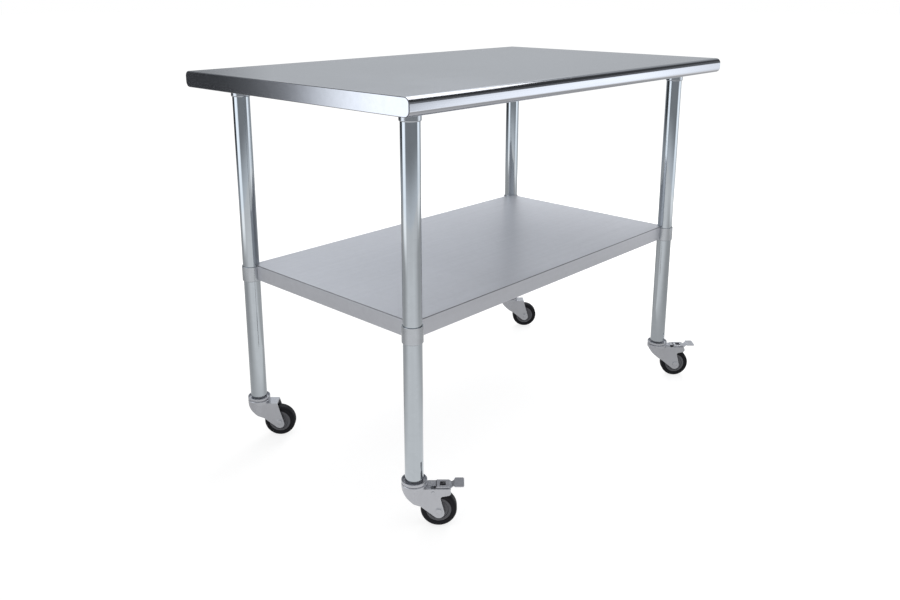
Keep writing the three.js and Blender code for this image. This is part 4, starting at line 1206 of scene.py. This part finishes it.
def make_ramp(g, share, stops):
    """A grey ramp over a whole turn; each stop is its degrees and how bright it is there"""
    ramp = g.add("ValToRGB", {0: share})
    ramp.color_ramp.interpolation = "LINEAR"
    points = ramp.color_ramp.elements
    for i, (degrees, level) in enumerate(stops):
        place = (degrees + 180) / 360
        point = points[i] if i < 2 else points.new(place)
        point.position, point.color = place, (level, level, level, 1)
    return ramp.outputs[0]


def start_card(name, mesh):
    """A surface that only reflections see; gives its nodes and a spot's place, height and share of a turn"""
    card = placed(name, mesh)
    only_reflected(card)
    material = bpy.data.materials.new(name)
    material.cycles.emission_sampling = "NONE"
    mesh.materials.append(material)
    g = fresh_nodes(material)
    place = g.add("TexCoord").outputs["Object"]
    parts = g.add("SeparateXYZ", {0: place}).outputs
    turn = g.maths("ARCTAN2", parts["X"], parts["Y"])
    return g, place, parts["Z"], g.between(turn, -math.pi, math.pi)


def glow_card(g, level, tint, strength):
    """Ends a card's nodes in plain light of that level and tint"""
    toned = g.add("VectorMath", {0: level, 1: tint}, operation="MULTIPLY").outputs[0]
    glow = g.add("Emission", {"Color": toned, "Strength": strength})
    g.add("OutputMaterial", {"Surface": glow.outputs[0]})


def ring_mesh(name, rings, count=96):
    """A band between two rings, each a radius and a height"""
    vertices = [
        (x, y, z) for radius, z in rings
        for x, y in arc((0, 0), radius, 0, 2 * math.pi * (1 - 1 / count), count - 1)]
    mesh = bpy.data.meshes.new(name)
    mesh.from_pydata(
        vertices, [], [(i, (i + 1) % count, count + (i + 1) % count, count + i) for i in range(count)])
    return mesh


def build_wall(scene):
    """A round wall that only the metal's reflections see, dark and light as a photographer's cards are"""
    s = scene.table_studio
    rings = ((s.wall_radius, 0), (s.wall_radius, s.wall_height))
    g, _, height, share = start_card("studio_wall", ring_mesh("studio_wall", rings))
    foot, low, middle, high, step = (
        make_ramp(g, share, stops) for stops in (WALL_FOOT, WALL_LOW, WALL_MIDDLE, WALL_HIGH, WALL_STEP))
    over = g.maths("SUBTRACT", height, g.maths("MULTIPLY", step, s.wall_height))
    level = g.blend(g.between(over, -s.step_fade, s.step_fade, smooth=True), low, middle)
    level = g.blend(g.between(height, s.high_start, s.high_full, smooth=True), level, high)
    level = g.blend(g.between(height, 0.0, s.foot_fade, smooth=True), foot, level)
    glow_card(g, level, s.wall_tint, s.wall_glow)


def build_floor_card(scene):
    """A grey card round the table's foot, bright towards the camera, that only reflections see"""
    s = scene.table_studio
    rings = ((s.card_inner, s.card_rise), (s.wall_radius, s.card_rise))
    g, place, _, share = start_card("studio_floor_card", ring_mesh("studio_floor_card", rings))
    flat = g.add("VectorMath", {0: place, 1: (1, 1, 0)}, operation="MULTIPLY").outputs[0]
    reach = g.add("VectorMath", {0: flat}, operation="LENGTH").outputs["Value"]
    mixed = g.between(
        reach, s.card_plain_start, s.card_plain_end, 1 - s.card_plain_share, 1.0, smooth=True)
    near = g.blend(mixed, shade((s.card_plain,) * 3, 1), make_ramp(g, share, CARD_GREY))
    faded = g.between(reach, s.card_fade_start, s.card_fade_end, smooth=True)
    level = g.blend(faded, near, make_ramp(g, share, WALL_FOOT))
    glow_card(g, level, (1, 1, 1), s.wall_glow)


def background_rays(g):
    """1 for a ray from the camera, off a mirror or through glass"""
    rays = g.add("LightPath").outputs
    either = g.maths("MAXIMUM", rays["Is Camera Ray"], rays["Is Glossy Ray"])
    return g.maths("MAXIMUM", either, rays["Is Transmission Ray"])


def build_floor(scene):
    """A pale floor that shows white and keeps the table's shadow"""
    s = scene.table_studio
    half = s.floor / 2
    corners = [(-half, -half, 0), (half, -half, 0), (half, half, 0), (-half, half, 0)]
    mesh = bpy.data.meshes.new("studio_floor")
    mesh.from_pydata(corners, [], [(0, 1, 2, 3)])
    floor = placed("studio_floor", mesh)
    material = bpy.data.materials.new("studio_floor")
    mesh.materials.append(material)
    g = fresh_nodes(material)
    place = g.add("TexCoord").outputs["Object"]
    reach = g.add("VectorMath", {0: place}, operation="LENGTH").outputs["Value"]
    white = g.between(reach, s.wall_radius / 2, 2 * s.wall_radius, s.floor_near, s.floor_far)
    paint = g.add("BsdfDiffuse", {"Color": shade((s.floor_paint,) * 3, 1)})
    glow = g.add("Emission", {"Strength": g.maths("MULTIPLY", background_rays(g), white)})
    both = g.add("AddShader", {0: paint.outputs[0], 1: glow.outputs[0]})
    g.add("OutputMaterial", {"Surface": both.outputs[0]})


def build_world(scene):
    """Plain white for the camera and in reflections, and dimmer as a light on the table"""
    world = bpy.data.worlds.new("studio")
    g = fresh_nodes(world)
    level = g.between(background_rays(g), 0.0, 1.0, scene.table_studio.fill, 1.0)
    sky = g.add("Background", {"Color": (1, 1, 1, 1), "Strength": level})
    g.add("OutputWorld", {"Surface": sky.outputs[0]})
    world.cycles.sampling_method = "NONE"
    scene.world = world


def add_lamp(name, watts, size, place, turn, tilt, reflected):
    """A soft box that faces down, or as far towards level as its tilt"""
    data = bpy.data.lights.new(name, "AREA")
    data.energy, data.shape = watts, "RECTANGLE"
    data.size, data.size_y = size
    lamp = placed(name, data)
    lamp.location = place
    lamp.rotation_euler = (math.radians(tilt), 0, math.radians(turn))
    lamp.visible_camera, lamp.visible_glossy = False, reflected


def build_camera(scene):
    s = scene.table_studio
    data = bpy.data.cameras.new("camera")
    data.lens, data.sensor_width, data.shift_y = s.lens, SENSOR_WIDTH, s.lens_shift
    data.clip_start, data.clip_end = VIEW_RANGE
    camera = placed("camera", data)
    camera.location = s.camera_place
    camera.rotation_euler = (math.pi / 2 - s.camera_dip, 0, -s.camera_turn)
    scene.camera = camera


# Operators


class BuildStep(bpy.types.Operator):
    """Base of the building steps"""

    bl_options = {"REGISTER", "UNDO"}


class MakeFinishes(BuildStep):
    """Make the finishes and the effects that they share"""

    bl_idname = "work_table.make_finishes"
    bl_label = "Make Finishes"

    def execute(self, context):
        s = context.scene.table_finishes
        make_effects()
        # The worktop's ends get a dark reflection painted into the colour at their bends
        make_metal(
            "brushed_stainless", s.stainless, s.stainless_rough, lines=0.5, marks=0.35, bends=1.5,
            fold="X")
        make_metal(
            "drawn_tube", s.tube, s.tube_rough, (500.0, 500.0, 2.0), lines=0.1, marks=0.15, spangle=0.3,
            bump=0.0)
        # The undershelf's bends get a dark reflection painted into the colour
        make_metal(
            "satin_sheet", s.shelf, s.shelf_rough, lines=0.35, marks=0.3, spangle=0.3, bump=0.04,
            metallic=0.45, bends=0.75)
        make_metal(
            "spangled_channel", s.channel, s.channel_rough, lines=0.2, marks=0.5, spangle=0.9, size=60.0)
        make_metal(
            "plated_zinc", s.zinc, s.zinc_rough, (300.0, 300.0, 300.0), lines=0.2, marks=0.4, spangle=0.2,
            size=400.0, metallic=0.62)
        make_metal("turned_steel", s.steel, s.steel_rough, (500.0, 500.0, 40.0), lines=0.4, marks=0.6)
        make_cast("cast_metal", s.cast, s.cast_rough)
        make_moulding("grey_plastic", s.core, s.core_rough, size=900.0, strength=0.15, shine=0.5)
        make_moulding("black_rubber", s.tyre, s.tyre_rough, size=700.0, strength=0.25, shine=0.2)
        return {"FINISHED"}


class BuildWorktop(BuildStep):
    """Build the folded worktop with its rolled edges"""

    bl_idname = "work_table.build_worktop"
    bl_label = "Build Worktop"

    def execute(self, context):
        build_worktop(context.scene)
        return {"FINISHED"}


class BuildUndershelf(BuildStep):
    """Build the folded undershelf"""

    bl_idname = "work_table.build_undershelf"
    bl_label = "Build Undershelf"

    def execute(self, context):
        build_undershelf(context.scene)
        return {"FINISHED"}


class BuildLegs(BuildStep):
    """Build the four leg tubes"""

    bl_idname = "work_table.build_legs"
    bl_label = "Build Legs"

    def execute(self, context):
        build_legs(context.scene)
        return {"FINISHED"}


class BuildSockets(BuildStep):
    """Build the sockets at the legs' tops and round them at the undershelf"""

    bl_idname = "work_table.build_sockets"
    bl_label = "Build Sockets"

    def execute(self, context):
        build_sockets(context.scene)
        return {"FINISHED"}


class BuildSwivels(BuildStep):
    """Build the caster stems and swivel cups"""

    bl_idname = "work_table.build_swivels"
    bl_label = "Build Swivels"

    def execute(self, context):
        build_swivels(context.scene)
        return {"FINISHED"}


class BuildForks(BuildStep):
    """Build the caster forks, braked and plain"""

    bl_idname = "work_table.build_forks"
    bl_label = "Build Forks"

    def execute(self, context):
        build_forks(context.scene)
        return {"FINISHED"}


class BuildWheels(BuildStep):
    """Build the tyres, wheel cores and axles"""

    bl_idname = "work_table.build_wheels"
    bl_label = "Build Wheels"

    def execute(self, context):
        build_wheels(context.scene)
        return {"FINISHED"}


class BuildBrakes(BuildStep):
    """Build the brake pedals, pins and leaf springs"""

    bl_idname = "work_table.build_brakes"
    bl_label = "Build Brakes"

    def execute(self, context):
        build_brakes(context.scene)
        return {"FINISHED"}


class DressHidden(BuildStep):
    """Put finer finishes on the channels, screws and sleeves"""

    bl_idname = "work_table.dress_hidden"
    bl_label = "Dress Hidden Pieces"

    def execute(self, context):
        dress_hidden()
        return {"FINISHED"}


class BuildStudio(BuildStep):
    """Build the floor, the reflected wall, the lamps and the camera"""

    bl_idname = "work_table.build_studio"
    bl_label = "Build Studio"

    def execute(self, context):
        scene = context.scene
        build_floor(scene)
        build_wall(scene)
        build_floor_card(scene)
        build_world(scene)
        for name, setting, *shape in LAMPS:
            add_lamp(name, getattr(scene.table_studio, setting), *shape)
        build_camera(scene)
        scene.view_settings.view_transform = "Standard"
        return {"FINISHED"}


STEPS = (
    MakeFinishes, BuildWorktop, BuildUndershelf, BuildLegs, BuildSockets, BuildSwivels, BuildForks,
    BuildWheels, BuildBrakes, DressHidden, BuildStudio,
)


class TablePanel(bpy.types.Panel):
    """Lists the building steps in order"""

    bl_idname = "VIEW3D_PT_work_table"
    bl_label = "Work Table"
    bl_space_type = "VIEW_3D"
    bl_region_type = "UI"
    bl_category = "Work Table"

    def draw(self, context):
        column = self.layout.column(align=True)
        for step in STEPS:
            column.operator(step.bl_idname)


def register():
    for kind in (*SETTINGS.values(), *STEPS, TablePanel):
        bpy.utils.register_class(kind)
    for name, kind in SETTINGS.items():
        setattr(bpy.types.Scene, name, bpy.props.PointerProperty(type=kind))


def unregister():
    for name in SETTINGS:
        delattr(bpy.types.Scene, name)
    for kind in (TablePanel, *reversed(STEPS), *reversed(SETTINGS.values())):
        bpy.utils.unregister_class(kind)


def main():
    register()
    for step in STEPS:
        group, name = step.bl_idname.split(".")
        done = getattr(getattr(bpy.ops, group), name)()
        if done != {"FINISHED"}:
            raise RuntimeError(f"{step.bl_label} did not finish")


if __name__ == "__main__":
    main()
